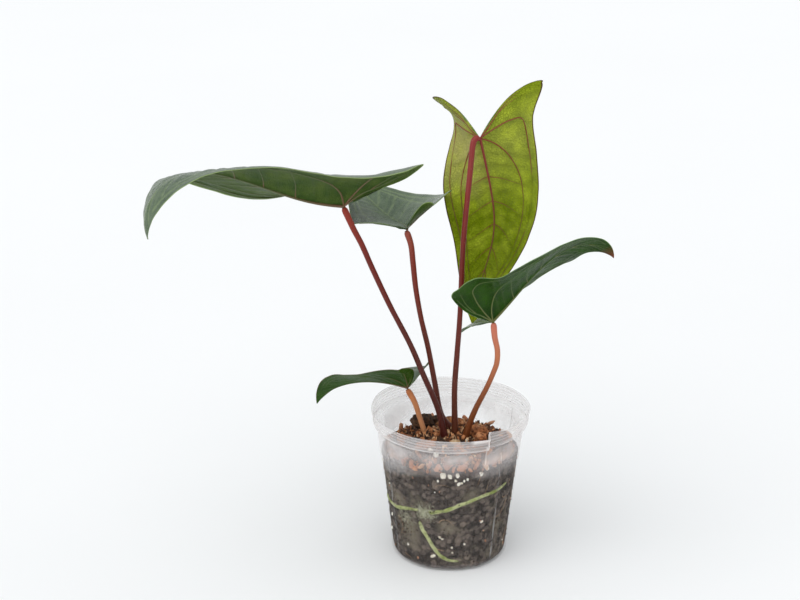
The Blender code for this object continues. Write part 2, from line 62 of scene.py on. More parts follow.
# %% Camera and stage
CAMERA_PLACE = (-0.0346, -1.5158, 0.7781)
LOOK_DOWN = 21.32              # degrees below the horizon
LENS = 108                     # mm
SKY_COLOUR = (0.96, 0.98, 1.0, 1.0)
SKY_STRENGTH = 0.77
SUN_HEADING = (38.0, -8.0, -28.0)
SUN_STRENGTH = 1.30
SUN_WIDTH = 75                 # degrees across, which makes its shadows soft

bpy.context.scene.view_settings.view_transform = "Standard"
camera_lens = bpy.data.cameras.new("camera")
camera_lens.lens = LENS
camera = bpy.data.objects.new("camera", camera_lens)
camera.location = CAMERA_PLACE
camera.rotation_euler = (math.radians(90 - LOOK_DOWN), 0, 0)
bpy.context.scene.collection.objects.link(camera)
bpy.context.scene.camera = camera

world = bpy.data.worlds.new("white surround")
world.use_nodes = True
sky = world.node_tree.nodes["Background"]
sky.inputs["Color"].default_value = SKY_COLOUR
sky.inputs["Strength"].default_value = SKY_STRENGTH
bpy.context.scene.world = world
sun_light = bpy.data.lights.new("soft sun", "SUN")
sun_light.energy = SUN_STRENGTH
sun_light.angle = math.radians(SUN_WIDTH)
sun = bpy.data.objects.new("soft_sun", sun_light)
sun.rotation_euler = [math.radians(a) for a in SUN_HEADING]
bpy.context.scene.collection.objects.link(sun)
print("lens:", LENS, "mm, looking", LOOK_DOWN, "degrees down")

# %% [markdown]
# ## Writing shader and geometry nodes as sums
# A node graph is easier to read as a formula. A Wire wraps one output socket, and adding or
# multiplying Wires adds Math nodes.

# %% Wires
class Wire:
    """One output socket that takes part in sums."""

    def __init__(self, graph, socket):
        self.graph = graph
        self.socket = socket

    def sum_with(self, operation, first, second):
        return self.graph.node("ShaderNodeMath", {"operation": operation}, {0: first, 1: second})

    def __add__(self, other):
        return self.sum_with("ADD", self, other)

    def __radd__(self, other):
        return self.sum_with("ADD", other, self)

    def __sub__(self, other):
        return self.sum_with("SUBTRACT", self, other)

    def __rsub__(self, other):
        return self.sum_with("SUBTRACT", other, self)

    def __mul__(self, other):
        return self.sum_with("MULTIPLY", self, other)

    def __rmul__(self, other):
        return self.sum_with("MULTIPLY", other, self)

    def __truediv__(self, other):
        return self.sum_with("DIVIDE", self, other)

    def __abs__(self):
        return self.sum_with("ABSOLUTE", self, None)

# %% [markdown]
# ## Graphs
# A Graph has one method that makes any node from its type, its settings and its inputs. It
# serves materials and Geometry Nodes alike.

# %% Graphs
class Graph:
    """Makes nodes in one node tree."""

    def __init__(self, tree):
        self.tree = tree

    def node(self, kind, settings=None, inputs=None, out=0):
        made = self.tree.nodes.new(kind)
        for key, value in (settings or {}).items():
            if key == "stops":
                self.set_stops(made.color_ramp, value)
            else:
                setattr(made, key, value)
        for key, value in (inputs or {}).items():
            if isinstance(value, Wire):
                self.tree.links.new(value.socket, made.inputs[key])
            elif value is not None:
                made.inputs[key].default_value = value
        return Wire(self, made.outputs[out])

    def set_stops(self, ramp, stops):
        while len(ramp.elements) < len(stops):
            ramp.elements.new(0.5)
        for element, (place, colour) in zip(ramp.elements, stops):
            element.position = place
            element.color = (*colour, 1.0)

    def limit(self, value):
        return self.node("ShaderNodeClamp", None, {0: value})

    def spread(self, value, low, high):
        """0 where value is at low, 1 where it is at high, straight between and level beyond."""
        return self.node("ShaderNodeMapRange", None, {"Value": value, "From Min": low, "From Max": high})

# %% [markdown]
# ## Paints
# A Paint is a material and the few textures that all the finishes here are mixed from:
# clouds, cells, and values that a mesh carries at its points.

# %% Paints
OBJECT_PLACE = 3               # the Texture Coordinate node's Object output


class Paint(Graph):
    """A material, with the textures that this plant's finishes are mixed from."""

    def __init__(self, name, roughness=0.5, specular=0.5):
        self.material = bpy.data.materials.new(name)
        self.material.use_nodes = True
        super().__init__(self.material.node_tree)
        self.shader = self.tree.nodes["Principled BSDF"]
        self.shader.inputs["Specular IOR Level"].default_value = specular
        self.shader.inputs["Roughness"].default_value = roughness
        self.place = self.node("ShaderNodeTexCoord", out=OBJECT_PLACE)

    def feed(self, socket_name, wire):
        self.tree.links.new(wire.socket, self.shader.inputs[socket_name])

    def attribute(self, name):
        return self.node("ShaderNodeAttribute", {"attribute_name": name}, out=2)

    def flat_map(self):
        return self.node("ShaderNodeUVMap", {"uv_map": "flat"})

    def axes(self, where=None):
        """The three numbers of a place."""
        parts = self.node("ShaderNodeSeparateXYZ", None, {0: where or self.place})
        return [Wire(self, socket) for socket in parts.socket.node.outputs]

    def ramp(self, stops, share):
        return self.node("ShaderNodeValToRGB", {"stops": stops}, {0: share})

    def cloud(self, scale, detail=3.0, rough=0.55, where=None):
        return self.node("ShaderNodeTexNoise", None,
                         {"Vector": where or self.place, "Scale": scale, "Detail": detail,
                          "Roughness": rough})

    def cells(self, scale, feature="F1", where=None, out=0):
        return self.node("ShaderNodeTexVoronoi", {"feature": feature},
                         {"Vector": where or self.place, "Scale": scale}, out=out)

    def stretch(self, factors, where=None):
        return self.node("ShaderNodeMapping", None, {"Vector": where or self.place, "Scale": factors})

    def mix(self, share, first, second):
        """first where share is 0, second where it is 1. A colour is three numbers or a Wire."""
        ends = [c if isinstance(c, Wire) else (*c, 1.0) for c in (first, second)]
        return self.node("ShaderNodeMix", {"data_type": "RGBA"},
                         {0: share, 6: ends[0], 7: ends[1]}, out=2)

    def bump(self, height, distance):
        self.feed("Normal", self.node("ShaderNodeBump", None, {"Height": height, "Distance": distance}))

# %% [markdown]
# ## Mesh helpers
# Short helpers turn a bmesh, an evaluated object or a run of points into a plain mesh.

# %% Mesh helpers
def add_object(name, mesh, material=None):
    made = bpy.data.objects.new(name, mesh)
    bpy.context.scene.collection.objects.link(made)
    if material:
        mesh.materials.append(material)
    return made


def built(builder, name):
    """The mesh that a bmesh holds. The bmesh is freed."""
    mesh = bpy.data.meshes.new(name)
    builder.to_mesh(mesh)
    builder.free()
    return mesh


def settled(source):
    """A plain mesh of source as its modifiers leave it."""
    bpy.context.view_layer.update()
    graph = bpy.context.evaluated_depsgraph_get()
    return bpy.data.meshes.new_from_object(source.evaluated_get(graph))


def add_values(mesh, name, values):
    """Stores one number at each point of mesh."""
    layer = mesh.attributes.new(name, "FLOAT", "POINT")
    layer.data.foreach_set("value", np.ascontiguousarray(values, np.float32))


def point_rows(mesh, name):
    """Three numbers for each point of mesh, such as its place or its normal."""
    rows = np.zeros(len(mesh.vertices) * 3, np.float32)
    mesh.vertices.foreach_get(name, rows)
    return rows.reshape(-1, 3)


def wire_object(name, paths, sizes):
    """An object of bare edges: one run of points for each path, with a size at each."""
    points, edges, alongs = [], [], []
    for path in paths:
        first = len(points)
        points += [tuple(p) for p in path]
        edges += [(first + k, first + k + 1) for k in range(len(path) - 1)]
        alongs += list(np.linspace(0, 1, len(path)))
    mesh = bpy.data.meshes.new(name)
    mesh.from_pydata(points, edges, [])
    add_values(mesh, "size", np.concatenate(sizes))
    add_values(mesh, "along", alongs)
    return add_object(name, mesh)

# %% [markdown]
# ## Geometry Nodes trees
# Steps is a tree with named inputs, which ends by making its copies real and setting their
# material. What it runs on is replaced by a plain mesh, so nothing is left to evaluate.

# %% Trees
class Steps(Graph):
    """A Geometry Nodes tree with named inputs."""

    def __init__(self, name, sockets):
        super().__init__(bpy.data.node_groups.new(name, "GeometryNodeTree"))
        self.keys = {}
        face = self.tree.interface
        face.new_socket(name="Geometry", in_out="OUTPUT", socket_type="NodeSocketGeometry")
        for label, kind in {"Geometry": "Geometry", **sockets}.items():
            made = face.new_socket(name=label, in_out="INPUT", socket_type="NodeSocket" + kind)
            self.keys[label] = made.identifier
        self.start = self.tree.nodes.new("NodeGroupInput")

    def given(self, label):
        return Wire(self, self.start.outputs[label])

    def finish(self, geometry):
        joined = self.node("GeometryNodeRealizeInstances", None, {0: geometry})
        smooth = self.node("GeometryNodeSetShadeSmooth", None, {"Geometry": joined})
        painted = self.node("GeometryNodeSetMaterial", None,
                            {0: smooth, "Material": self.given("Material")})
        end = self.tree.nodes.new("NodeGroupOutput")
        self.tree.links.new(painted.socket, end.inputs[0])

    def run(self, source, name, values):
        """The plain mesh object that the tree makes from source. source is removed."""
        modifier = source.modifiers.new(name, "NODES")
        modifier.node_group = self.tree
        for label, value in values.items():
            modifier[self.keys[label]] = value
        mesh = settled(source)
        bpy.data.objects.remove(source, do_unlink=True)
        mesh.name = name
        return add_object(name, mesh)

# %% [markdown]
# ## The floor
# A plain matt sheet, a little off white, with a faint unevenness so it doesn't look printed.

# %% Floor
FLOOR_HALF_SIDE = 8.0
FLOOR_GAP = 0.2 * MM           # keeps the pot's foot clear of the sheet
floor_paint = Paint("pale floor", roughness=0.9, specular=0.1)
floor_tone = floor_paint.mix(floor_paint.cloud(3.0), (0.90, 0.905, 0.905), (0.93, 0.935, 0.935))
floor_paint.feed("Base Color", floor_tone)
builder = bmesh.new()
bmesh.ops.create_grid(builder, x_segments=4, y_segments=4, size=FLOOR_HALF_SIDE)
floor = add_object("floor", built(builder, "floor"), floor_paint.material)
floor.location.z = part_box("clear_pot")[0].z - FLOOR_GAP
print("floor at:", round(floor.location.z / MM, 2), "mm")

# %% [markdown]
# ## Smooth curves through a few points
# The leaves, stalks and roots are all drawn from a handful of points. A Catmull-Rom curve
# passes through every point and needs no handles, so the same function reads an outline, a
# bend or a route.

# %% Curves
def track(values, where):
    """A smooth curve through evenly spaced values, read at the places where (0 to len - 1)."""
    points = np.asarray(values, dtype=float)
    if points.ndim == 1:
        points = points[:, None]
    ends = np.vstack([2 * points[0] - points[1], points, 2 * points[-1] - points[-2]])
    last = len(points) - 1
    where = np.clip(np.asarray(where, dtype=float), 0, last)
    i = np.minimum(where.astype(int), last - 1)
    t = (where - i)[:, None]
    p0, p1, p2, p3 = ends[i], ends[i + 1], ends[i + 2], ends[i + 3]
    smooth = 2 * p1 + (p2 - p0) * t + (2 * p0 - 5 * p1 + 4 * p2 - p3) * t**2
    return 0.5 * (smooth + (3 * p1 - 3 * p2 + p3 - p0) * t**3)


def even_path(points, spacing):
    """Points spaced evenly along the smooth curve through points."""
    fine = track(points, np.linspace(0, len(points) - 1, 40 * len(points)))
    travelled = np.concatenate([[0], np.cumsum(np.linalg.norm(np.diff(fine, axis=0), axis=1))])
    count = max(3, round(travelled[-1] / spacing) + 1)
    stops = np.linspace(0, travelled[-1], count)
    return np.stack([np.interp(stops, travelled, fine[:, k]) for k in range(fine.shape[1])], axis=1)


def wave(points, scale, seed=0.0):
    """Smooth noise at each point, about -1 to 1."""
    shift = Vector((seed, seed * 1.7, -seed))
    return np.array([noise.noise(Vector(p) / scale + shift) for p in points])


print("a track through 0, 1 and 0, read at 0.5:", track([0, 1, 0], [0.5])[0, 0])

# %% [markdown]
# ## Five leaves from one outline
# Every blade shares one heart-shaped outline. The midrib of each leaf is a curve that rises,
# droops and turns, and each half of the blade folds up or down from it, so one entry for
# each leaf gives five quite different leaves. Joints and stalks are in millimetres, angles in
# degrees. These are the values that the solids were made with, so each blade lies where its
# solid lies.

# %% Leaf values
# (place along the blade, distance from the midrib, where the line across leaves the midrib)
BLADE_OUTLINE = (
    (0.00, 0.00, 0.00),
    (-0.12, 0.060, 0.00),
    (-0.42, 0.223, 0.00),
    (-0.80, 0.448, 0.00),
    (-1.00, 0.72, 0.00),
    (-0.86, 0.98, 0.00),
    (-0.42, 1.06, 0.00),
    (0.04, 0.98, 0.00),
    (0.22, 0.93, 0.09),
    (0.42, 0.80, 0.26),
    (0.62, 0.57, 0.47),
    (0.80, 0.30, 0.69),
    (0.93, 0.10, 0.88),
    (1.00, 0.00, 1.00),
)
LOBE_NECK = 0.4                # share of a back lobe over which its spread sets in
LEAVES = {
    1: dict(
        joint=(-71.7, -9.3, 257.3), length=174, half_width=66, lobes=(42, 35), lobe_spread=1.0,
        heading=204, pitch=(10, 24, 1, -110), sway=(2, 10, -16, 0),
        fold_right=(2, 6, -19, -25, -40), fold_left=(60, 61, 45, 23, 4),
        curl_right=(-20, -28, -11, -9, 7), curl_left=(-32, -54, -38, -13, -6),
        lobe_lift=(12, 1),
        stalk=((-3.5, -5.0, 86), (-8.5, -6.0, 108.4), (-18.9, -7.2, 135.1), (-27.8, -8.3, 157.7),
               (-41.3, -9.0, 185.7), (-52.7, -9.1, 211.7), (-60.0, -9.2, 229.5), (-65.9, -9.2, 241.6)),
    ),
    2: dict(
        joint=(-30.2, 21.0, 230.1), length=106, half_width=41, lobes=(25, 33), lobe_spread=0.55,
        heading=95, pitch=(-17, -3, 21, -52), sway=(13, -23, -31, -26),
        fold_right=(15, 44, 33, 18, 17), fold_left=(0, 22, 17, 12, 7),
        curl_right=(9, -9, -14, -15, -1), curl_left=(16, -35, -25, -8, 3),
        lobe_lift=(70, 20),
        stalk=((1.5, 6.2, 87), (-6.2, 6.5, 99.1), (-10.8, 8, 123.3), (-15.3, 10.7, 147.2),
               (-20.2, 13.5, 168), (-23.7, 16.3, 187.9), (-25.7, 18.8, 206.3), (-27.1, 20.5, 218.7)),
    ),
    3: dict(
        joint=(19.6, 39.0, 289.1), length=147, half_width=43, lobes=(38, 26), lobe_spread=1.0,
        heading=72, pitch=(-80, -79, -94, -83), sway=(10, 5, -15, -4),
        fold_right=(14, 30, 37, 38, 19), fold_left=(6, 26, 3, -12, -10),
        curl_right=(-2, 31, 21, 8, -2), curl_left=(32, 43, 11, 0, -3),
        lobe_lift=(90, 35), opening=((0.5, 0.56, 0.72, 1.2), (0.76, 0.82, 0.88, 1.2)),
        stalk=((3.5, -1, 86), (2.9, -2.4, 121.1), (4.3, -3, 147.4), (6.1, -2.9, 177.4),
               (8.3, 10.8, 224.4), (12.8, 28.7, 267.6), (14.8, 35.6, 285.9), (17.2, 37, 289.5)),
    ),
    4: dict(
        joint=(27.7, -11.9, 175.5), length=108, half_width=53, lobes=(19, 11), lobe_spread=1.0,
        heading=8, pitch=(38, 48, 24, -59), sway=(-22, -2, 3, -5),
        fold_right=(81, 68, 43, 37, 56), fold_left=(-2, -2, -23, -47, -43),
        curl_right=(-56, -21, -3, -5, 4), curl_left=(-24, -25, -14, 10, -2),
        lobe_lift=(60, 36),
        stalk=((10.3, -6.0, 86), (12.9, -7.8, 97.2), (17.5, -10.2, 111.0), (24.7, -13.1, 127.9),
               (29.3, -13.7, 140.0), (31.2, -13.4, 146.5), (31.4, -12.9, 155.2), (29.5, -12.5, 164.5)),
    ),
    5: dict(
        joint=(-29.2, 8.0, 118.2), length=83, half_width=33, lobes=(2, 8), lobe_spread=1.0,
        heading=158, pitch=(8, -9, -30, -57), sway=(2, 3, 8, 13),
        fold_right=(22, 11, -6, -5, 1), fold_left=(64, 51, 32, 41, 44),
        curl_right=(-11, -6, -2, 0, 1), curl_left=(-29, -12, -4, 0, 2),
        lobe_lift=(20, 32),
        stalk=((-8.2, 2.6, 68), (-13.5, 4.4, 78), (-17.9, 6.0, 87.1), (-21.0, 7.2, 96.5),
               (-24.5, 8.0, 107.5)),
    ),
}
print("leaves:", len(LEAVES))

# %% [markdown]
# ## The surface of a blade
# blade_frame follows the midrib and carries a sideways and an upward direction along it.
# blade_points then places any spot of a leaf's flat map: so far along the midrib, or back
# into a lobe, and so far across, folded and curled.

# %% Blade surface
def blade_frame(leaf, steps=90):
    """The midrib's points, direction, right side and upper side, from joint to tip."""
    heading = math.radians(leaf["heading"])
    ahead = np.array([math.cos(heading), math.sin(heading), 0.0])
    right = np.array([math.sin(heading), -math.cos(heading), 0.0])
    share = np.linspace(0, 1, steps + 1)
    pitch = np.radians(track(leaf["pitch"], share * (len(leaf["pitch"]) - 1)))
    sway = np.radians(track(leaf["sway"], share * (len(leaf["sway"]) - 1)))
    rising = np.cos(pitch) * ahead + np.sin(pitch) * np.array([0, 0, 1.0])
    along = np.cos(sway) * rising + np.sin(sway) * right
    step = leaf["length"] * MM / steps
    middles = (along[1:] + along[:-1]) / 2
    points = np.vstack([np.zeros(3), np.cumsum(middles * step, axis=0)])
    points = points + np.array(leaf["joint"]) * MM
    sides = np.zeros_like(along)
    side = right
    for k, direction in enumerate(along):
        side = side - direction * np.dot(side, direction)
        side = side / np.linalg.norm(side)
        sides[k] = side
    return {"at": share * leaf["length"] * MM, "points": points, "along": along, "out": sides,
            "up": np.cross(sides, along)}


def blade_points(leaf, side, place, across):
    """Points on one half of a blade: place runs along the midrib, across towards the margin."""
    frame_lines = blade_frame(leaf)
    length, half_width = leaf["length"] * MM, leaf["half_width"] * MM
    lobe = leaf["lobes"][0 if side > 0 else 1] * MM
    lift = math.radians(leaf["lobe_lift"][0 if side > 0 else 1])
    half = "right" if side > 0 else "left"
    on_rib = np.clip(place, 0, length)
    rib, along, out, up = (
        np.stack([np.interp(on_rib, frame_lines["at"], frame_lines[key][:, k]) for k in range(3)], axis=1)
        for key in ("points", "along", "out", "up"))
    station = np.where(place < 0, place / lobe, 3 * place / length) + 1
    fold = np.radians(track(leaf["fold_" + half], station)[:, 0])
    bend = np.radians(track(leaf["curl_" + half], station)[:, 0]) * across / half_width
    chord = across * np.sinc(bend / 2 / np.pi)
    behind = -np.minimum(place, 0)
    tip_up = lift * behind / lobe
    back = behind * np.sinc(tip_up / 2 / np.pi)
    points = rib - along * (back * np.cos(tip_up / 2))[:, None]
    points += up * (back * np.sin(tip_up / 2) + chord * np.sin(fold + bend / 2))[:, None]
    return points + side * out * (chord * np.cos(fold + bend / 2))[:, None]


def drawn_lobe(leaf, side, place, across):
    """across with its back lobe drawn in and its gap opened, both as shares of the half width."""
    behind = np.clip(-place, 0, 1)
    across = across * (1 + (leaf["lobe_spread"] - 1) * np.clip(behind / LOBE_NECK, 0, 1))
    if side < 0 or "opening" not in leaf:
        return across
    slant = across / np.maximum(behind, 1e-9)
    opened = np.maximum(slant, np.interp(slant, *leaf["opening"]))
    return np.where(behind > 0, behind * opened, across)


def half_blade(leaf, side, round_edge, outward):
    """Place and across of a net: round_edge runs round the outline, outward from the midrib to it."""
    outline = track(BLADE_OUTLINE, round_edge)
    lobe, length = leaf["lobes"][0 if side > 0 else 1] * MM, leaf["length"] * MM
    edge_place = np.where(outline[:, 0] < 0, outline[:, 0] * lobe, outline[:, 0] * length)
    rib_place = np.clip(outline[:, 2], 0, 1) * length
    edge_across = drawn_lobe(leaf, side, outline[:, 0], np.maximum(outline[:, 1], 0))
    across = edge_across * leaf["half_width"] * MM * outward
    return rib_place + (edge_place - rib_place) * outward, across


for number, leaf in LEAVES.items():
    print("leaf", number, "tip, in mm:", np.round(blade_frame(leaf)["points"][-1] / MM))

# %% [markdown]
# ## Veins
# An anthurium leaf has a stout midrib, a few veins that fan out from the joint, one of which
# runs round inside the margin, and short laterals between them. The veins are routes in the
# leaf's own flat map, as shares of its length and half width, so they follow any leaf. The
# blade swells a little between them, which gives a leaf its quilted look.

# %% Vein routes
VEIN_SPACING = 2.5 * MM
FAN_VEINS = (
    # (size at its start in mm, points as (share of the length, share of the half width))
    (0.55, ((0.0, 0.0), (-0.22, 0.20), (-0.52, 0.38), (-0.80, 0.66))),
    (0.30, ((-0.36, 0.29), (-0.52, 0.52), (-0.60, 0.80))),
    (0.50, ((0.0, 0.0), (-0.10, 0.28), (-0.14, 0.56), (-0.02, 0.78), (0.16, 0.80),
            (0.36, 0.71), (0.56, 0.52), (0.74, 0.29), (0.88, 0.11))),
    (0.50, ((0.0, 0.0), (0.05, 0.22), (0.14, 0.42), (0.27, 0.54), (0.43, 0.51), (0.60, 0.38),
            (0.76, 0.19))),
)
LATERAL_SIZE = 0.28
LATERAL_PLACES = (0.20, 0.33, 0.45, 0.57, 0.69, 0.80)
FINE_PLACES = (0.07, 0.13, 0.265, 0.39, 0.51, 0.63, 0.745, 0.86)


def lateral(place, reach):
    """A vein from the midrib that sweeps forward as it goes out."""
    wide = reach * track(BLADE_OUTLINE, [7 + 6 * place**0.8])[0, 1]
    return ((place, 0.0), (place + 0.035, 0.30 * wide), (place + 0.085, 0.62 * wide),
            (place + 0.13, 0.9 * wide))


def vein_routes(leaf, side):
    """Each vein of one half: its size in metres, 0 for a fine one, and its points on the flat map."""
    length, half_width = leaf["length"] * MM, leaf["half_width"] * MM
    lobe = leaf["lobes"][0 if side > 0 else 1] * MM
    laterals = [(LATERAL_SIZE, lateral(place, 0.86)) for place in LATERAL_PLACES]
    fine = [(0.0, lateral(place, 1.0)) for place in FINE_PLACES]
    found = []
    for size, route in [*FAN_VEINS, *laterals, *fine]:
        flat = [(p * (lobe if p < 0 else length), a * half_width) for p, a in route]
        path = even_path(flat, VEIN_SPACING)
        path[:, 1] = drawn_lobe(leaf, side, path[:, 0] / lobe, path[:, 1] / half_width) * half_width
        found.append((size * MM * leaf["half_width"] / 50, path))
    return found


def nearest_vein(flat, routes):
    """Distance from each flat point to the closest of the routes."""
    best = np.full(len(flat), 1.0)
    for _, path in routes:
        for first, last in zip(path, path[1:]):
            step = last - first
            share = np.clip(((flat - first) @ step) / max(step @ step, 1e-12), 0, 1)
            away = np.linalg.norm(flat - first - share[:, None] * step, axis=1)
            best = np.minimum(best, away)
    return best


print("veins in each half:", len(FAN_VEINS) + len(LATERAL_PLACES) + len(FINE_PLACES))

# %% [markdown]
# ## Blades
# A blade is one net over both halves. Its lines run out from the midrib to the margin, and
# the two halves share the points on the midrib.

# %% Blades
NET_ROUND = 170                # net lines round the outline of each half
NET_ACROSS = 56                # net lines from the midrib to the margin
BLADE_THICKNESS = 0.55 * MM
QUILT = 0.75 * MM              # how far the blade swells between veins
QUILT_REACH = 4.5 * MM
QUILT_GAIN = {3: 1.8, 1: 1.3, 2: 1.3}
MARGIN_WAVE = 0.9 * MM
VEIN_REACH = 0.75 * MM         # how far from its middle a vein still tints the blade
FINE_REACH = 0.8 * MM
FLAT_SCALE = 4.0               # units of the flat map in a metre of leaf
FLAT_ORIGIN = (0.25, 0.5)
THICKNESS_STEPS = 10


def blade_net(leaf):
    """Both halves of a blade as one net of corners and faces, joined along the midrib."""
    round_edge = np.linspace(0, len(BLADE_OUTLINE) - 1, NET_ROUND)
    outward = np.linspace(0, 1, NET_ACROSS) ** 0.9
    corners, flats, margins, faces, index = [], [], [], [], {}
    rib = np.clip(track(BLADE_OUTLINE, round_edge)[:, 2], 0, 1)
    for side in (1, -1):
        edge, out = np.meshgrid(round_edge, outward, indexing="ij")
        place, across = half_blade(leaf, side, edge.ravel(), out.ravel())
        points = blade_points(leaf, side, place, across)
        numbers = np.zeros(NET_ROUND * NET_ACROSS, int)
        for k in range(len(points)):
            row, column = divmod(k, NET_ACROSS)
            on_rib = column == 0 or row in (0, NET_ROUND - 1)
            key = ("rib", round(float(rib[row]), 6)) if on_rib else (side, k)
            if key not in index:
                index[key] = len(corners)
                corners.append(points[k])
                flats.append((place[k], side * across[k]))
                margins.append(outward[column] if not on_rib else 0.0)
            numbers[k] = index[key]
        for row in range(NET_ROUND - 1):
            for column in range(NET_ACROSS - 1):
                k = row * NET_ACROSS + column
                next_row = k + NET_ACROSS
                ring = [numbers[k], numbers[next_row], numbers[next_row + 1], numbers[k + 1]]
                ring = list(dict.fromkeys(ring if side < 0 else ring[::-1]))
                if len(ring) > 2:
                    faces.append(ring)
    return np.array(corners), np.array(flats), np.array(margins), faces


print("net points in a blade, at most:", 2 * NET_ROUND * NET_ACROSS)

# %% [markdown]
# ## From net to blade
# The net is pushed up a little between its veins and waved along its margin, and then given
# its thickness. Its points keep what the finishes need: how near they are to a vein and to
# the margin, and their place on the flat map.

# %% From net to blade
def vein_distances(leaf, flats):
    """How far each flat point is from a main vein or the midrib, and from a fine vein."""
    main, fine = np.ones(len(flats)), np.ones(len(flats))
    for side in (1, -1):
        half = flats[:, 1] * side >= 0
        routes = vein_routes(leaf, side)
        folded = flats[half] * np.array([1, side])
        main[half] = nearest_vein(folded, [r for r in routes if r[0] > 0])
        fine[half] = nearest_vein(folded, [r for r in routes if r[0] == 0])
    to_rib = np.where(flats[:, 0] >= 0, np.abs(flats[:, 1]), 1.0)
    return np.minimum(main, to_rib), fine


def lay_flat(mesh, flats):
    """Stores the flat map as the mesh's UV map."""
    loops = np.zeros(len(mesh.loops), np.int32)
    mesh.loops.foreach_get("vertex_index", loops)
    spots = flats[loops] * FLAT_SCALE + np.array(FLAT_ORIGIN)
    mesh.uv_layers.new(name="flat").data.foreach_set("uv", spots.astype(np.float32).ravel())


def thicken(blade, margins):
    """Gives the blade its two sides, thinner towards the margin."""
    thick = blade.vertex_groups.new(name="thick")
    weights = np.round((1 - 0.6 * margins**12) * THICKNESS_STEPS)
    for weight in range(THICKNESS_STEPS + 1):
        chosen = np.nonzero(weights == weight)[0]
        thick.add(chosen.tolist(), weight / THICKNESS_STEPS, "REPLACE")
    shell = blade.modifiers.new("thickness", "SOLIDIFY")
    shell.thickness = BLADE_THICKNESS
    shell.offset = 0.0
    shell.vertex_group = "thick"
    shell.material_offset = 1
    shell.material_offset_rim = 1


def make_blade(number, upper, under):
    leaf = LEAVES[number]
    corners, flats, margins, faces = blade_net(leaf)
    mesh = bpy.data.meshes.new(f"blade_{number}")
    mesh.from_pydata(corners.tolist(), [], faces)
    main, fine = vein_distances(leaf, flats)
    near = np.minimum(main, fine + FINE_REACH)
    swell = QUILT * (1 - np.exp(-((near / QUILT_REACH) ** 1.5))) * (1 - margins**8)
    ripple = MARGIN_WAVE * wave(corners, 22 * MM, number) * margins**3
    ripple += 0.35 * MM * wave(corners, 9 * MM, number + 5.0) * margins
    push = swell * QUILT_GAIN.get(number, 1.0) + ripple
    corners = corners + point_rows(mesh, "normal") * push[:, None]
    mesh.vertices.foreach_set("co", corners.ravel())
    mesh.update()
    add_values(mesh, "vein", np.exp(-((main / VEIN_REACH) ** 2)))
    add_values(mesh, "fine_vein", np.exp(-((fine / FINE_REACH) ** 2)))
    add_values(mesh, "margin", margins)
    add_values(mesh, "puff", np.clip(near / (2 * QUILT_REACH), 0, 1))
    add_values(mesh, "forward", flats[:, 0] / (leaf["length"] * MM))
    lay_flat(mesh, flats)
    mesh.shade_smooth()
    blade = add_object(f"blade_{number}", mesh, upper)
    mesh.materials.append(under)
    thicken(blade, margins)
    return blade

# %% [markdown]
# ## Leaf finishes
# The upper side is dark, waxy green that turns grey where it mirrors the sky, with pale
# veins. The under side is duller and lighter, with a net of fine veins. Both read the flat
# map, so the net keeps its size on every leaf, and the vein masks come from the blade's own
# points.

# %% Leaf paint
FLAT_CELL = 150                # fine net cells in one unit of the flat map, about 1.7 mm each


def joint_and_backlight_share(paint, flat, forward, patch):
    """High near the stalk's joint, and most of all on the half that the light shines through, which is
    painted backlight.
    """
    near_stalk = 1 - paint.spread(abs(forward - 0.08) + 0.10 * patch, 0.06, 0.34)
    left_half = paint.spread(0.5 - paint.axes(flat)[1], -0.01, 0.05)
    return 0.75 * near_stalk * (0.30 + 0.70 * left_half)


def leaf_paint(name, deep, light, vein, rim, roughness, net_depth, vein_share=0.8,
               joint_and_backlight_tint=None, specular=0.07, tip=None):
    """deep and light in clouds. The joint tint colours a pale blade by its joint, and as painted
    backlight most on its left half; tip tints its end.
    """
    paint = Paint(name, roughness, specular)
    flat = paint.flat_map()
    forward = paint.attribute("forward")
    # Random mottling, plus painted light and shade of the quilting: lighter on the swells between the
    # veins, darker along them.
    mottle_and_quilt_shade = paint.cloud(16.0, 4.0, where=flat) + 0.22 * (paint.attribute("puff") - 0.35)
    patch = paint.spread(mottle_and_quilt_shade, 0.38, 0.68)
    crinkle = paint.cloud(20.0, 3.0, 0.55, where=flat)
    net = 1 - paint.spread(paint.cells(FLAT_CELL, "DISTANCE_TO_EDGE", flat), 0.0, 0.09)
    grain = paint.cloud(420.0, 2.0, where=flat)
    if joint_and_backlight_tint:
        patch = patch * (0.30 + 0.70 * paint.spread(forward, -0.20, -0.05))
    colour = paint.mix(patch, deep, light)
    if joint_and_backlight_tint:
        # A yellow tint by the joint: partly the young blade's own colour, and partly painted backlight on
        # the half that light shines through.
        colour = paint.mix(joint_and_backlight_share(paint, flat, forward, patch), colour, joint_and_backlight_tint)
    colour = paint.mix(net * 0.16 + paint.spread(grain, 0.45, 0.75) * 0.10, colour, vein)
    colour = paint.mix(paint.attribute("fine_vein") * 0.22, colour, vein)
    colour = paint.mix(paint.attribute("vein") * vein_share, colour, vein)
    # A thin line along the margin. Where the rim colour is pale green it is painted light that the thin
    # edge catches and lets through; where it is dark brown it is the blade's own edge.
    colour = paint.mix(paint.spread(paint.attribute("margin"), 0.968, 0.99), colour, rim)
    if tip:
        colour = paint.mix(paint.spread(forward, 0.90, 0.985), colour, tip)
    paint.feed("Base Color", colour)
    paint.feed("Roughness", roughness + 0.10 * (patch - 0.5) + 0.12 * (grain - 0.5))
    paint.bump(net * -0.6 + grain * 0.35 + paint.attribute("fine_vein") * 0.4 + crinkle * 4.0, net_depth)
    return paint.material
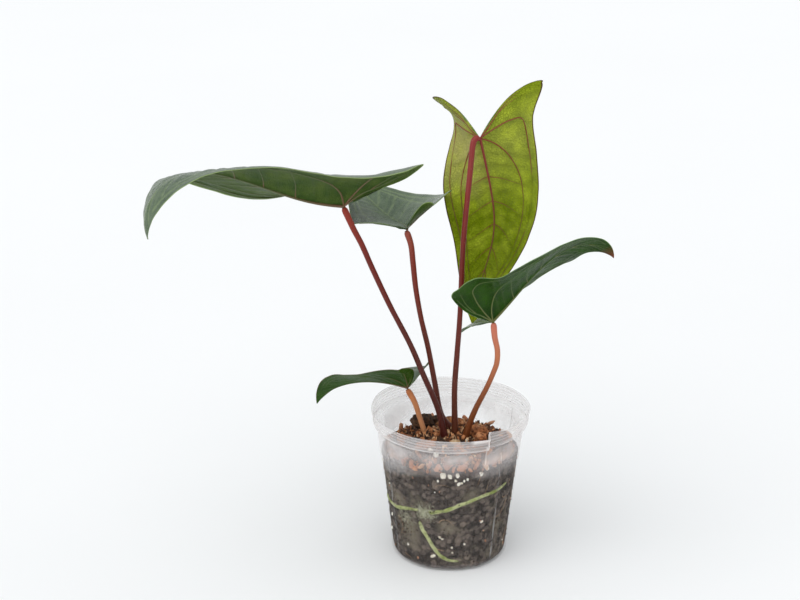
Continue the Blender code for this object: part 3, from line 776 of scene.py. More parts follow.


# The upper side's greyish green is partly painted sheen, lighter and greyer than the leaf's own dark
# green; its high specular gives the real reflection.
upper_green = leaf_paint("leaf_upper", (0.040, 0.078, 0.036), (0.095, 0.140, 0.080), (0.20, 0.27, 0.12),
                         (0.22, 0.30, 0.12), 0.30, 0.00018, vein_share=0.6, specular=0.6)
under_green = leaf_paint("leaf_under", (0.036, 0.080, 0.011), (0.085, 0.135, 0.025),
                         (0.105, 0.135, 0.050),
                         (0.26, 0.36, 0.12), 0.46, 0.00040, vein_share=0.30)
under_deep = leaf_paint("leaf_under_deep", (0.008, 0.042, 0.0005), (0.024, 0.088, 0.002),
                        (0.10, 0.16, 0.04), (0.24, 0.38, 0.14), 0.42, 0.00036,
                        vein_share=0.22, tip=(0.20, 0.055, 0.03))
under_young = leaf_paint("leaf_under_young", (0.018, 0.064, 0.001), (0.034, 0.098, 0.005),
                         (0.06, 0.13, 0.02), (0.12, 0.10, 0.04), 0.42, 0.00030, vein_share=0.3)
# Bright yellow-green: partly the young leaf's own colour and partly painted backlight.
under_pale = leaf_paint("leaf_under_pale", (0.205, 0.285, 0.001), (0.450, 0.550, 0.030),
                        (0.140, 0.150, 0.006), (0.10, 0.045, 0.015), 0.46, 0.00060,
                        vein_share=0.35, joint_and_backlight_tint=(0.56, 0.50, 0.17))
upper_pale = leaf_paint("leaf_upper_pale", (0.070, 0.140, 0.015), (0.120, 0.200, 0.030),
                        (0.30, 0.38, 0.12), (0.12, 0.06, 0.02), 0.32, 0.00018, specular=0.5)
BLADE_PAINTS = {1: (upper_green, under_green), 2: (upper_green, under_green),
                3: (upper_pale, under_pale), 4: (upper_green, under_deep),
                5: (upper_green, under_young)}
print("leaf finishes:", len({paint for pair in BLADE_PAINTS.values() for paint in pair}))

# %% [markdown]
# ## Five blades
# The tall leaf is young and lit through from behind, so it has the pale finishes: partly its
# young colour and partly painted backlight. The others are green.

# %% Make the blades
for number, paints in BLADE_PAINTS.items():
    blade = make_blade(number, *paints)
    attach(blade, "root")
    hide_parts(f"leaf_blade_{number}")
print("blades:", len(BLADE_PAINTS))

# %% [markdown]
# ## A tube along a route
# Stalks, vein ribs, roots and fibres are all round things that follow a route, so one
# Geometry Nodes tree makes them: bare edges become a curve, and a circle is swept along it,
# scaled by each point's size. The share of the way along stays on the mesh, where the finish
# reads it.

# %% Tube tree
tube_steps = Steps("tube along a route", {"Sides": "Int", "Material": "Material"})
tube_size = tube_steps.node("GeometryNodeInputNamedAttribute", {"data_type": "FLOAT"}, {"Name": "size"})
tube_curve = tube_steps.node("GeometryNodeMeshToCurve", None, {0: tube_steps.given("Geometry")})
tube_ring = tube_steps.node("GeometryNodeCurvePrimitiveCircle", None,
                            {"Resolution": tube_steps.given("Sides"), "Radius": 1.0})
tube_swept = tube_steps.node("GeometryNodeCurveToMesh", None,
                             {"Curve": tube_curve, "Profile Curve": tube_ring,
                              "Scale": tube_size, "Fill Caps": True})
tube_steps.finish(tube_swept)


def tubes(name, paths, sizes, sides, material):
    return tube_steps.run(wire_object(name + "_route", paths, sizes), name,
                          {"Sides": sides, "Material": material})


print("tube inputs:", ", ".join(tube_steps.keys))

# %% [markdown]
# ## Raised veins
# On the under side the big veins stand out as ribs. Each rib is half sunk in the blade: its
# route is lifted off the blade's middle along the surface's own normal.

# %% Vein ribs
def rib_paint(name, base, end, switch):
    paint = Paint(name, 0.42)
    along = paint.attribute("along")
    fleck = paint.cloud(900.0, 2.0)
    paint.feed("Base Color", paint.mix(paint.spread(along + 0.3 * (fleck - 0.5), *switch), base, end))
    paint.feed("Roughness", 0.36 + 0.2 * fleck)
    paint.bump(fleck, 0.0001)
    return paint.material


red_rib = rib_paint("vein_red", (0.24, 0.026, 0.014), (0.17, 0.085, 0.012), (0.15, 0.8))
green_rib = rib_paint("vein_green", (0.15, 0.075, 0.030), (0.085, 0.115, 0.030), (0.02, 0.35))
pale_rib = rib_paint("vein_pale", (0.13, 0.14, 0.03), (0.06, 0.115, 0.015), (0.0, 0.4))
RIB_PAINTS = {1: green_rib, 2: green_rib, 3: red_rib, 4: pale_rib, 5: green_rib}
MIDRIB_SIZE = {1: 1.25, 2: 0.9, 3: 1.0, 4: 1.05, 5: 0.8}
MIDRIB_POINTS = 70
RIB_SIDES = 8
NUDGE = 0.3 * MM               # a short step, for the surface's slope


def surface_route(leaf, side, flat, lift):
    """The flat points on the blade's surface, moved by lift along its upper normal."""
    place, across = flat[:, 0], np.maximum(flat[:, 1], 0)
    at = blade_points(leaf, side, place, across)
    ahead = blade_points(leaf, side, place + NUDGE, across) - at
    aside = blade_points(leaf, side, place, across + NUDGE) - at
    normal = np.cross(side * aside, ahead)
    normal /= np.linalg.norm(normal, axis=1)[:, None]
    return at + normal * np.asarray(lift)[:, None]


def make_ribs(number):
    leaf = LEAVES[number]
    length = leaf["length"] * MM
    steps = np.linspace(0.0, 0.985 * length, MIDRIB_POINTS)
    rib_flat = np.stack([steps, np.zeros(MIDRIB_POINTS)], axis=1)
    size = MIDRIB_SIZE[number] * MM * (1 - 0.86 * (steps / length) ** 0.8)
    paths, sizes = [surface_route(leaf, 1, rib_flat, -0.35 * size)], [size]
    for side in (1, -1):
        for start, flat in vein_routes(leaf, side):
            if start > 0:
                size = start * (1 - 0.72 * np.linspace(0, 1, len(flat)))
                paths.append(surface_route(leaf, side, flat, -0.12 * MM - 0.25 * size))
                sizes.append(size)
    ribs = tubes(f"vein_ribs_{number}", paths, sizes, RIB_SIDES, RIB_PAINTS[number])
    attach(ribs, "root")
    print(ribs.name, "ribs:", len(paths))


for number in LEAVES:
    make_ribs(number)

# %% [markdown]
# ## Stalks
# Each stalk is slender and a little thicker at both ends: a clasping foot at the stem and a
# knee under the blade. Older stalks go from brown-red at the foot to red at the knee, and
# the two young ones are orange.

# %% Stalks
STALK_RADIUS = 2.0 * MM
STALK_SPACING = 1.6 * MM
STALK_SIDES = 20
FOOT_SWELL, FOOT_REACH = 0.55, 8 * MM
KNEE_SWELL, KNEE_REACH = 0.22, 7 * MM
STALK_COLOURS = {
    1: ((0.0, (0.060, 0.009, 0.006)), (0.45, (0.095, 0.014, 0.007)), (0.8, (0.17, 0.016, 0.009)),
        (1.0, (0.33, 0.035, 0.018))),
    2: ((0.0, (0.080, 0.014, 0.007)), (0.5, (0.125, 0.020, 0.009)), (0.85, (0.23, 0.032, 0.018)),
        (1.0, (0.34, 0.075, 0.045))),
    3: ((0.0, (0.095, 0.028, 0.012)), (0.25, (0.105, 0.018, 0.009)), (0.6, (0.165, 0.014, 0.008)),
        (1.0, (0.26, 0.030, 0.026))),
    4: ((0.0, (0.125, 0.034, 0.007)), (0.45, (0.25, 0.070, 0.020)), (0.75, (0.50, 0.165, 0.075)),
        (1.0, (0.62, 0.180, 0.115))),
    5: ((0.0, (0.42, 0.25, 0.11)), (0.5, (0.58, 0.26, 0.12)), (0.9, (0.60, 0.22, 0.085)),
        (1.0, (0.52, 0.17, 0.055))),
}


def stalk_paint(number):
    paint = Paint(f"stalk_{number}", 0.34, 0.28)
    along = paint.attribute("along")
    streak = paint.cloud(260.0, 3.0, where=paint.stretch((1.0, 1.0, 0.12)))
    fleck = paint.cells(420.0)
    colour = paint.ramp(STALK_COLOURS[number], along + 0.16 * (streak - 0.5))
    colour = paint.mix(paint.spread(streak, 0.55, 0.78) * 0.35, colour, (0.045, 0.018, 0.010))
    colour = paint.mix((1 - paint.spread(fleck, 0.05, 0.16)) * 0.30, colour, (0.50, 0.36, 0.26))
    paint.feed("Base Color", colour)
    paint.feed("Roughness", 0.30 + 0.16 * streak)
    paint.bump(streak, 0.00025)
    return paint.material


def make_stalk(number):
    leaf = LEAVES[number]
    under = np.array(leaf["joint"]) * MM - blade_frame(leaf)["up"][0] * 0.7 * STALK_RADIUS
    path = even_path([np.array(p) * MM for p in leaf["stalk"]] + [under], STALK_SPACING)
    share = np.linspace(0, 1, len(path))
    travelled = share * len(path) * STALK_SPACING
    left = travelled[-1] - travelled
    foot = FOOT_SWELL * np.exp(-travelled / FOOT_REACH)
    knee = KNEE_SWELL * np.exp(-left / KNEE_REACH)
    size = STALK_RADIUS * (1 + foot + knee)
    size *= (1 + 0.035 * wave(path, 14 * MM, number)) * (1 - 0.45 * np.exp(-left / (1.1 * MM)))
    size *= 1 - 0.10 * np.exp(-(((share - 0.55) / 0.3) ** 2))
    stalk = tubes(f"stalk_{number}", [path], [size], STALK_SIDES, stalk_paint(number))
    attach(stalk, "root")
    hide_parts(f"leaf_stalk_{number}")
    print(stalk.name, "length:", round(travelled[-1] / MM), "mm")


for number in LEAVES:
    make_stalk(number)

# %% [markdown]
# ## Turned shapes
# The pot and the mix are both turned: a profile swept round the upright axis. Sweeping it in
# code, one column of points for each angle, leaves room to push single points about, which
# gives the soft pot its bent rim and the mix its crumbs.

# %% Lathe
def turned(name, profile, angles, shape, material):
    """A closed turned mesh. profile runs from axis to axis, and shape(r, z, angle) bends it."""
    radius, height = np.array(profile).T
    inner = slice(1, len(profile) - 1)
    angle, r = np.meshgrid(angles, radius[inner], indexing="ij")
    z = np.broadcast_to(height[inner], r.shape)
    r, z = shape(r.ravel(), z.ravel(), angle.ravel())
    ring = np.stack([r * np.cos(angle.ravel()), r * np.sin(angle.ravel()), z], axis=1)
    poles = np.array([[0, 0, height[0]], [0, 0, height[-1]]])
    rows, columns = len(profile) - 2, len(angles)
    faces = []
    for column in range(columns):
        here, there = column * rows, (column + 1) % columns * rows
        faces.append((len(ring), here, there))
        faces.append((len(ring) + 1, there + rows - 1, here + rows - 1))
        faces += [(here + k, here + k + 1, there + k + 1, there + k)
                  for k in range(rows - 1)]
    mesh = bpy.data.meshes.new(name)
    mesh.from_pydata(np.vstack([ring, poles]).tolist(), [], faces)
    builder = bmesh.new()
    builder.from_mesh(mesh)
    bmesh.ops.recalc_face_normals(builder, faces=builder.faces)
    builder.to_mesh(mesh)
    builder.free()
    mesh.shade_smooth()
    return add_object(name, mesh, material)


def step_up(value, low, high):
    """0 below low, 1 above high, smooth between."""
    t = np.clip((value - low) / (high - low), 0, 1)
    return t * t * (3 - 2 * t)


def around(angle, middle):
    """Degrees from middle, in degrees, to angle, in radians: -180 to 180."""
    return np.degrees(np.angle(np.exp(1j * (angle - math.radians(middle)))))

# %% [markdown]
# ## The clear pot
# A nursery pot is blown from very thin plastic: a tapered wall, a stepped rim band with a
# few fine ribs, seams where the mould closed, and drain holes. This one has a split rim:
# on one side of the split the rim sags, and on the other it stands up.

# %% Pot sizes
pot_low, pot_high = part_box("clear_pot")
POT_HEIGHT = pot_high.z - pot_low.z
RIM_RADIUS = (pot_high.x - pot_low.x) / 2
BASE_RADIUS = 39.9 * MM
WALL_TOP_RADIUS = 50.9 * MM
RIM_BAND = 11 * MM
LEDGE = POT_HEIGHT - RIM_BAND
POT_WALL = 0.6 * MM
POT_FLOOR = 1.2 * MM
FOOT_ROUND = 4 * MM
MIX_GAP = 0.3 * MM             # between the wall's inner side and the mix
RIB_COUNT = 3
RIB_DEPTH = 0.5 * MM
SEAM_ANGLES = (-151.0, -46.5, 29.0)
SPLIT_ANGLE = -62.0
DRAIN_COUNT = 8
DRAIN_RADIUS = 3.2 * MM
DRAIN_CIRCLE = 26 * MM


def wall_radius(height):
    return BASE_RADIUS + (WALL_TOP_RADIUS - BASE_RADIUS) * height / LEDGE


def inner_radius(height):
    return wall_radius(height) - POT_WALL - MIX_GAP


def round_pot(r, angle, z):
    """The point at the distance r from the axis, so many degrees round it."""
    return (r * math.cos(math.radians(angle)), r * math.sin(math.radians(angle)), z)


def on_wall(angle, height, inset):
    """A point inside the wall: degrees round the pot, height in mm, distance from the wall in mm."""
    return round_pot(inner_radius(height * MM) - inset * MM, angle, height * MM)


def foot_arc(radius, bottom, round_radius, steps=8):
    angles = np.linspace(0, math.pi / 2, steps + 1)
    return [(radius - round_radius + round_radius * math.sin(a),
             bottom + round_radius - round_radius * math.cos(a)) for a in angles]


def rim_side(step_out):
    """The rim band's outline from the ledge to the lip, step_out nearer to the axis."""
    band = RIM_RADIUS - 1.5 * MM - step_out
    line = [(band - 1.9 * MM, LEDGE + 0.1 * MM), (band - 0.5 * MM, LEDGE + 0.6 * MM),
            (band, LEDGE + 1.4 * MM)]
    pitch = (RIM_BAND - 4.6 * MM) / RIB_COUNT
    for rib in range(RIB_COUNT):
        middle = LEDGE + 2.6 * MM + pitch * rib
        line += [(band + RIB_DEPTH * (0.5 + 0.5 * math.cos(a)), middle + 0.35 * pitch * a / math.pi)
                 for a in np.linspace(-math.pi, math.pi, 7)]
    line += [(band + 0.3 * MM, POT_HEIGHT - 2.0 * MM),
             (RIM_RADIUS - 0.5 * MM - step_out, POT_HEIGHT - 1.3 * MM)]
    return line


print("pot:", round(2 * RIM_RADIUS / MM), "mm wide,", round(POT_HEIGHT / MM), "mm tall")

# %% [markdown]
# ## The soft rim
# The plastic is thin enough to bend. The rim wobbles, sags to one side of the split and
# stands up on the other, and the wall has a fine raised line at each seam.

# %% Rim bend and columns
SEAM_RIDGE = 0.28 * MM


def rim_shape(r, z, angle):
    """A slow wobble, a sag on one side of the split, a lift on the other, and the seams."""
    turn = around(angle, SPLIT_ANGLE)
    soft = step_up(z, LEDGE - 14 * MM, POT_HEIGHT)
    wobble = 0.5 * MM * np.sin(3 * angle + 0.6) + 0.25 * MM * np.sin(7 * angle + 2.0)
    sag = -2.1 * MM * np.exp(-np.abs(turn) / 55) * (turn < 0)
    rise = 2.9 * MM * np.exp(-np.abs(turn) / 26) * (turn >= 0)
    lean = 1.0 * MM * np.exp(-np.abs(turn) / 12) * np.where(turn < 0, 1.0, -0.4)
    seams = sum(np.exp(-((around(angle, seam) / 0.35) ** 2)) for seam in SEAM_ANGLES)
    on_the_wall = step_up(z, 4 * MM, 8 * MM) * (1 - step_up(z, LEDGE - 3 * MM, LEDGE))
    ridge = SEAM_RIDGE * seams * on_the_wall
    return r + (wobble + lean) * soft + ridge, z + (0.5 * wobble + sag + rise) * soft**2


def pot_angles():
    """Even columns, with closer ones at the seams and at the split."""
    even = list(np.radians(np.arange(0, 360, 2.0)))
    close = [math.radians(s + d) for s in SEAM_ANGLES for d in (-0.8, -0.4, 0.0, 0.4, 0.8)]
    close += [math.radians(SPLIT_ANGLE + d) for d in (-1.2, -0.6, -0.12, 0.12, 0.6, 1.2)]
    return sorted({round(a % (2 * math.pi), 5) for a in even + close})


print("columns round the pot:", len(pot_angles()))

# %% [markdown]
# ## Clear plastic
# The wall is nearly invisible where it is dry. Damp fogs it above the mix, the rim band is
# milky in fine lines, and the seams, the torn edge and its crack catch the light. All of
# them add to how much the plastic covers.

# %% Pot paint
FOG_START = 0.0745             # height of the fog's lower edge in metres, lower on two sides
EDGE_ON_DIP = 0.0095
EDGE_ON_ANGLE = 172
RIM_LINES = 2.1 * MM           # from one fine line of the rim band to the next
FLAP_MIDDLE = SPLIT_ANGLE - 6.5
CLEAR_COVER = 0.012


def pot_paint():
    paint = Paint("clear_plastic", 0.28, 0.25)
    across, ahead, height = paint.axes()
    turn = across.sum_with("ARCTAN2", ahead, across)
    to_split = abs(turn - math.radians(SPLIT_ANGLE))
    haze = paint.cloud(38.0, 4.0)
    scuff = paint.cloud(300.0, 2.0, where=paint.stretch((1.0, 1.0, 0.15)))
    dew = paint.spread(paint.cells(700.0), 0.30, 0.12)
    # The fog reaches lower at the left and right, where the wall is seen edge-on: painted reflection of
    # the glancing wall, on top of the damp.
    side = across.sum_with("COSINE", turn - math.radians(EDGE_ON_ANGLE), None)
    start = FOG_START - EDGE_ON_DIP * side * side
    fogged = paint.limit((height - start) * 62 + 0.5 * (haze - 0.5))
    fogged = fogged * (1 - paint.spread(height, LEDGE - 3 * MM, LEDGE + 3 * MM))
    fog = fogged * (0.18 + 0.27 * paint.spread(haze, 0.35, 0.7) + 0.05 * dew)
    band = paint.spread(height, LEDGE - 1.5 * MM, LEDGE + 1 * MM)
    lines = 0.5 + 0.5 * across.sum_with("SINE", height * (2 * math.pi / RIM_LINES), None)
    rim = band * (0.20 + 0.12 * lines * lines)
    seam = 0.0
    for angle in SEAM_ANGLES:
        seam = (1 - paint.spread(abs(turn - math.radians(angle)), 0.002, 0.008)) + seam
    torn = 1 - paint.spread(to_split, 0.004, 0.016)
    torn = torn * paint.spread(height, LEDGE - 1 * MM, LEDGE + 3 * MM)
    flap = 1 - paint.spread(abs(turn - math.radians(FLAP_MIDDLE)), 0.08, 0.13)
    torn = torn + flap * paint.spread(height, POT_HEIGHT - 5.4 * MM, POT_HEIGHT - 3.4 * MM)
    crack = 1 - paint.spread(to_split + 0.02 * (scuff - 0.5), 0.004, 0.010)
    crack = crack * paint.spread(height, 0.082, 0.086)
    seam = seam * (1 - band) * paint.spread(height, 0.004, 0.010)
    seam = seam * (0.7 + 0.6 * paint.spread(scuff, 0.4, 0.6))
    scratch = paint.spread(scuff, 0.62, 0.74) * 0.006
    floor_haze = (1 - paint.spread(height, 0.001, 0.006)) * 0.10
    alpha = CLEAR_COVER + fog + rim + 0.34 * seam + 0.45 * torn + 0.22 * crack
    alpha = alpha + scratch + floor_haze
    paint.feed("Alpha", paint.limit(alpha))
    tint = paint.mix(paint.spread(haze, 0.3, 0.7), (0.92, 0.86, 0.84), (0.98, 0.96, 0.96))
    line = paint.mix(paint.spread(scuff, 0.44, 0.56), (0.10, 0.09, 0.09), (0.90, 0.90, 0.88))
    paint.feed("Base Color", paint.mix(paint.limit(seam), tint, line))
    paint.feed("Roughness", 0.28 + 0.1 * scuff)
    paint.bump(0.3 * scuff + 0.4 * haze, 0.00002)
    return paint.material

# %% [markdown]
# ## Drain holes and the finished pot
# The profile goes from the axis out under the floor, up the wall, over the lip and back down
# inside. The holes are cut from the floor with one Boolean.

# %% Make the pot
def drain_holes(pot):
    """Cuts the round holes through the floor."""
    builder = bmesh.new()
    for k in range(DRAIN_COUNT):
        angle = 2 * math.pi * k / DRAIN_COUNT
        made = bmesh.ops.create_cone(builder, cap_ends=True, segments=28, radius1=DRAIN_RADIUS,
                                     radius2=DRAIN_RADIUS, depth=4 * POT_FLOOR)
        spot = Vector((DRAIN_CIRCLE * math.cos(angle), DRAIN_CIRCLE * math.sin(angle), 0.0))
        bmesh.ops.translate(builder, vec=spot, verts=made["verts"])
    cutters = add_object("drain_cutters", built(builder, "drain_cutters"))
    cut = pot.modifiers.new("drain holes", "BOOLEAN")
    cut.object = cutters
    cut.solver = "EXACT"
    result = settled(pot)
    pot.modifiers.clear()
    pot.data = result
    bpy.data.objects.remove(cutters, do_unlink=True)


outer_foot = foot_arc(wall_radius(FOOT_ROUND), 0.0, FOOT_ROUND)
inner_foot = foot_arc(wall_radius(FOOT_ROUND) - POT_WALL, POT_FLOOR, FOOT_ROUND - POT_WALL)
wall_heights = np.linspace(FOOT_ROUND, LEDGE, 16)[1:]
outer_wall = [(wall_radius(h), h) for h in wall_heights]
inner_wall = [(r - POT_WALL, h) for r, h in outer_wall]
lip = [(RIM_RADIUS - inward * MM, POT_HEIGHT - down * MM)
       for inward, down in ((0, 0.9), (0, 0.3), (0.4, 0), (0.8, 0.1), (1.1, 0.7))]
pot_profile = [(0.0, 0.0), (15 * MM, 0.0), (30 * MM, 0.0)] + outer_foot + outer_wall
pot_profile += rim_side(0.0) + lip + rim_side(POT_WALL)[::-1]
pot_profile += inner_wall[::-1] + inner_foot[::-1]
pot_profile += [(30 * MM, POT_FLOOR), (15 * MM, POT_FLOOR), (0.0, POT_FLOOR)]
pot = turned("nursery_pot", pot_profile, pot_angles(), rim_shape, pot_paint())
drain_holes(pot)
pot.data.shade_smooth()
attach(pot, "root")
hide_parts("clear_pot")
print("pot faces:", len(pot.data.polygons))

# %% [markdown]
# ## Potting mix
# Seen through the wall the mix is a mosaic of dark crumbs pressed flat, with black gaps
# between them that are painted shade. Its top is a rough mound that the chips lie on.

# %% Mix shape
MIX_EDGE = 76 * MM
MIX_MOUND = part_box("potting_mix")[1].z - MIX_EDGE


def mix_top(r):
    share = np.minimum(1.0, r / inner_radius(MIX_EDGE))
    return MIX_EDGE + MIX_MOUND * (1 - share**2) ** 1.5


def mix_shape(r, z, angle):
    spots = np.stack([r * np.cos(angle), r * np.sin(angle), z], axis=1)
    crumb = wave(spots, 2.6 * MM, 3.0)
    lump = wave(spots, 9 * MM, 8.0)
    top = step_up(z, MIX_EDGE - 1 * MM, MIX_EDGE + 1.5 * MM)
    press = (0.35 * MM + 0.75 * MM * np.clip(0.15 - crumb, 0, 1)) * (1 - top) * (z > 2 * MM)
    return r - press, z + top * (1.1 * MM * crumb + 1.2 * MM * lump)


print("mound:", round(MIX_MOUND / MM, 1), "mm above the mix's edge")

# %% [markdown]
# ## Mix finish and the finished mix
# Cells give the crumbs their edges and their tones, and clouds darken and warm whole areas.
# Where the mix has dried against the wall, it is pale, and its top is browner than its sides.

# %% Make the mix
CRUMB_CELLS = 300.0
WARP = (0.0022, 0.0022, 0.0022)
MIX_TONES = ((0.0, (0.014, 0.010, 0.008)), (0.28, (0.052, 0.041, 0.034)),
             (0.52, (0.115, 0.092, 0.078)), (0.78, (0.210, 0.165, 0.130)),
             (1.0, (0.380, 0.260, 0.170)))
PALE_PATCHES = (  # degrees round the pot, height in mm, reach in mm
    (-135, 32, 13), (-113, 47, 10), (-141, 50, 8), (-94, 37, 8), (-40, 33, 8), (-70, 60, 9),
    (60, 40, 11), (130, 55, 12), (170, 28, 10), (10, 60, 9),
)


def mix_paint():
    paint = Paint("potting_mix", 0.85, 0.2)
    bend = paint.node("ShaderNodeTexNoise", None, {"Vector": paint.place, "Scale": 260.0}, out=1)
    warp = paint.node("ShaderNodeVectorMath", {"operation": "MULTIPLY_ADD"},
                      {0: bend, 1: WARP, 2: paint.place})
    crumb = paint.cells(CRUMB_CELLS, where=warp)
    tone = paint.node("ShaderNodeSeparateColor", None,
                      {0: paint.cells(CRUMB_CELLS, where=warp, out=1)})
    dark = paint.cloud(75.0, 4.0)
    fine = paint.cloud(800.0, 3.0)
    height = paint.axes()[2]
    colour = paint.ramp(MIX_TONES, 0.50 * tone + 0.75 * (dark - 0.30) + 0.55 * (fine - 0.5))
    # Near black in the sunken gaps between the crumbs: painted shade.
    gap = paint.spread(crumb, 0.50, 0.80)
    colour = paint.mix(gap * 0.75, colour, (0.008, 0.006, 0.005))
    dried = 0.6 * paint.spread(paint.cloud(48.0, 3.0), 0.56, 0.70)
    for angle, high, reach in PALE_PATCHES:
        away = paint.node("ShaderNodeVectorMath", {"operation": "DISTANCE"},
                          {0: warp, 1: on_wall(angle, high, 0.5)}, out=1)
        away = away + 0.006 * (fine - 0.5)
        dried = dried + (1 - paint.spread(away, 0.4 * reach * MM, reach * MM)) * 0.65
    colour = paint.mix(paint.limit(dried) * 0.75, colour, (0.215, 0.185, 0.130))
    top = paint.spread(height, MIX_EDGE - 1 * MM, MIX_EDGE + 3 * MM)
    colour = paint.mix(top * 0.75 * paint.spread(dark, 0.35, 0.6), colour, (0.15, 0.060, 0.026))
    paint.feed("Base Color", colour)
    paint.feed("Roughness", 0.95 - 0.35 * paint.spread(fine, 0.5, 0.8))
    paint.bump(fine - crumb, 0.0012)
    return paint.material


mix_floor = POT_FLOOR + MIX_GAP
mix_foot = foot_arc(inner_radius(FOOT_ROUND), POT_FLOOR, 3.1 * MM)
mix_profile = [(0.0, mix_floor), (20 * MM, mix_floor)]
mix_profile += [(r - MIX_GAP, h + MIX_GAP) for r, h in mix_foot]
mix_profile += [(inner_radius(h) - 0.05 * MM, h) for h in np.linspace(6 * MM, MIX_EDGE, 62)]
mix_profile += [(r, mix_top(r))
                for r in np.linspace(inner_radius(MIX_EDGE) - 0.8 * MM, 1.2 * MM, 42)]
mix_profile += [(0.0, MIX_EDGE + MIX_MOUND)]
mix_angles = np.radians(np.arange(0, 360, 1.6))
mix = turned("mix_body", mix_profile, mix_angles, mix_shape, mix_paint())
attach(mix, "root")
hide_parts("potting_mix")
print("mix faces:", len(mix.data.polygons))

# %% [markdown]
# ## Bark chips
# The big chips keep the shapes of their solids: each solid is copied, joined up, cut finer
# and then roughened along its own layers, as torn bark is.

# %% Bark
def bark_paint(name, deep, light, pale, layer=(1.0, 0.35, 1.6)):
    paint = Paint(name, 0.82, 0.3)
    grain = paint.cloud(420.0, 5.0, 0.65, paint.stretch(layer))
    patch = paint.cloud(130.0, 3.0)
    pit = paint.cells(520.0)
    colour = paint.mix(paint.spread(grain, 0.34, 0.66), deep, light)
    colour = paint.mix(paint.spread(patch, 0.52, 0.72) * 0.55, colour, pale)
    # Near black in the pits that the bump sinks: painted shade.
    colour = paint.mix(paint.spread(pit, 0.55, 0.75) * 0.7, colour, tuple(0.25 * c for c in deep))
    paint.feed("Base Color", colour)
    paint.feed("Roughness", 0.72 + 0.24 * grain)
    paint.bump(grain - 0.5 * pit, 0.0009)
    return paint.material


bark_paints = {
    "orange_bark": bark_paint("bark_orange", (0.20, 0.062, 0.022), (0.55, 0.21, 0.080),
                              (0.72, 0.38, 0.19)),
    "dark_bark": bark_paint("bark_dark", (0.022, 0.011, 0.007), (0.105, 0.050, 0.024),
                            (0.21, 0.105, 0.05)),
    "grey_bark": bark_paint("bark_grey", (0.022, 0.017, 0.015), (0.080, 0.062, 0.055),
                            (0.15, 0.125, 0.11), (0.25, 1.6, 1.6)),
    "cream_bark": bark_paint("bark_cream", (0.40, 0.24, 0.12), (0.72, 0.52, 0.32),
                             (0.86, 0.74, 0.55)),
}
print("barks:", ", ".join(bark_paints))

# %% [markdown]
# ## Roughened chips
# Each solid is cut into small faces. Slow waves along its layers and a fine crumble then push
# the points in and out, by less on a thin chip than on a thick one.

# %% Make the chips
CUTS = 3                       # times that each face is cut in four


def rough_chip(node, material_name):
    builder = bmesh.new()
    builder.from_mesh(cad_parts[node].data)
    bmesh.ops.remove_doubles(builder, verts=builder.verts, dist=0.01 * MM)
    chip = add_object(node + "_rough", built(builder, node + "_rough"))
    chip.data.materials.clear()
    chip.data.materials.append(bark_paints[material_name])
    finer = chip.modifiers.new("finer", "SUBSURF")
    finer.subdivision_type = "SIMPLE"
    finer.levels = finer.render_levels = CUTS
    mesh = settled(chip)
    chip.modifiers.clear()
    chip.data = mesh
    points = point_rows(mesh, "co").astype(float)
    thin = (points.max(0) - points.min(0)).min()
    layers = wave(points * np.array([0.4, 0.8, 2.6]), 3.2 * MM, 2.0)
    push = 0.10 * thin * layers + 0.35 * MM * wave(points, 1.3 * MM, 4.0)
    push += 0.06 * thin * wave(points, 5 * MM, 6.0)
    points += point_rows(mesh, "normal") * push[:, None]
    mesh.vertices.foreach_set("co", points.ravel())
    mesh.update()
    mesh.shade_smooth()
    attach(chip, "root")
    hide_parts(node)


CHIP_BARKS = {
    "dark_husk_chunk": "dark_bark", "orange_chip_left": "orange_bark", "grey_bark_strip": "grey_bark",
    "front_bark_chip": "orange_bark", "small_chip_front": "dark_bark", "cream_chip": "cream_bark",
    "husk_chunk_right": "orange_bark", "standing_chip": "orange_bark", "edge_chip_right": "dark_bark",
    "back_bark_chip": "orange_bark", "back_dark_chip": "dark_bark",
}
for node, bark in CHIP_BARKS.items():
    rough_chip(node, bark)
print("chips:", len(CHIP_BARKS))

# %% [markdown]
# ## Grains
# Crumbs, perlite and specks of dirt are small shapes repeated many times. Each shape is a
# lump of a few dozen faces, kept outside the scene in a set that the next tree picks from.

# %% Grain shapes
def grain_shape(name, stretch, seed, detail):
    """A small lump of a few dozen faces."""
    builder = bmesh.new()
    bmesh.ops.create_icosphere(builder, subdivisions=detail, radius=0.5)
    for vert in builder.verts:
        push = 1 + 0.5 * noise.noise(vert.co * 2.4 + Vector((seed, 0, 0)))
        vert.co = Vector([c * s for c, s in zip(vert.co * push, stretch)])
    return built(builder, name)


def grain_set(name, shapes):
    """A collection of grain shapes, outside the scene, for the tree to pick from."""
    group = bpy.data.collections.new(name)
    for k, (stretch, detail) in enumerate(shapes):
        shape = grain_shape(f"{name}_{k}", stretch, 3.1 * k, detail)
        group.objects.link(bpy.data.objects.new(f"{name}_{k}", shape))
    return group


crumb_shapes = grain_set("crumb", (((1.0, 0.7, 0.5), 1), ((1.3, 0.55, 0.35), 1),
                                   ((0.9, 0.9, 0.6), 1), ((1.6, 0.35, 0.3), 1)))
perlite_shapes = grain_set("perlite", (((1.0, 0.9, 0.9), 2), ((1.0, 0.8, 0.75), 2),
                                       ((0.95, 1.0, 0.8), 2)))
flake_shapes = grain_set("flake", (((1.2, 0.8, 0.3), 1), ((1.0, 0.5, 0.35), 1),
                                   ((0.9, 0.9, 0.5), 1)))
shard_shapes = grain_set("shard", (((1.0, 0.7, 0.35), 2), ((1.1, 0.55, 0.45), 2)))
dirt_shapes = grain_set("speck", (((1.0, 0.8, 0.6), 1), ((1.0, 0.5, 0.5), 1)))

# %% [markdown]
# ## Copies on points
# A Geometry Nodes tree sets a picked shape on each point, turns and sizes it by a seeded
# draw, and stores a random tone that the finish reads, so no two crumbs match.

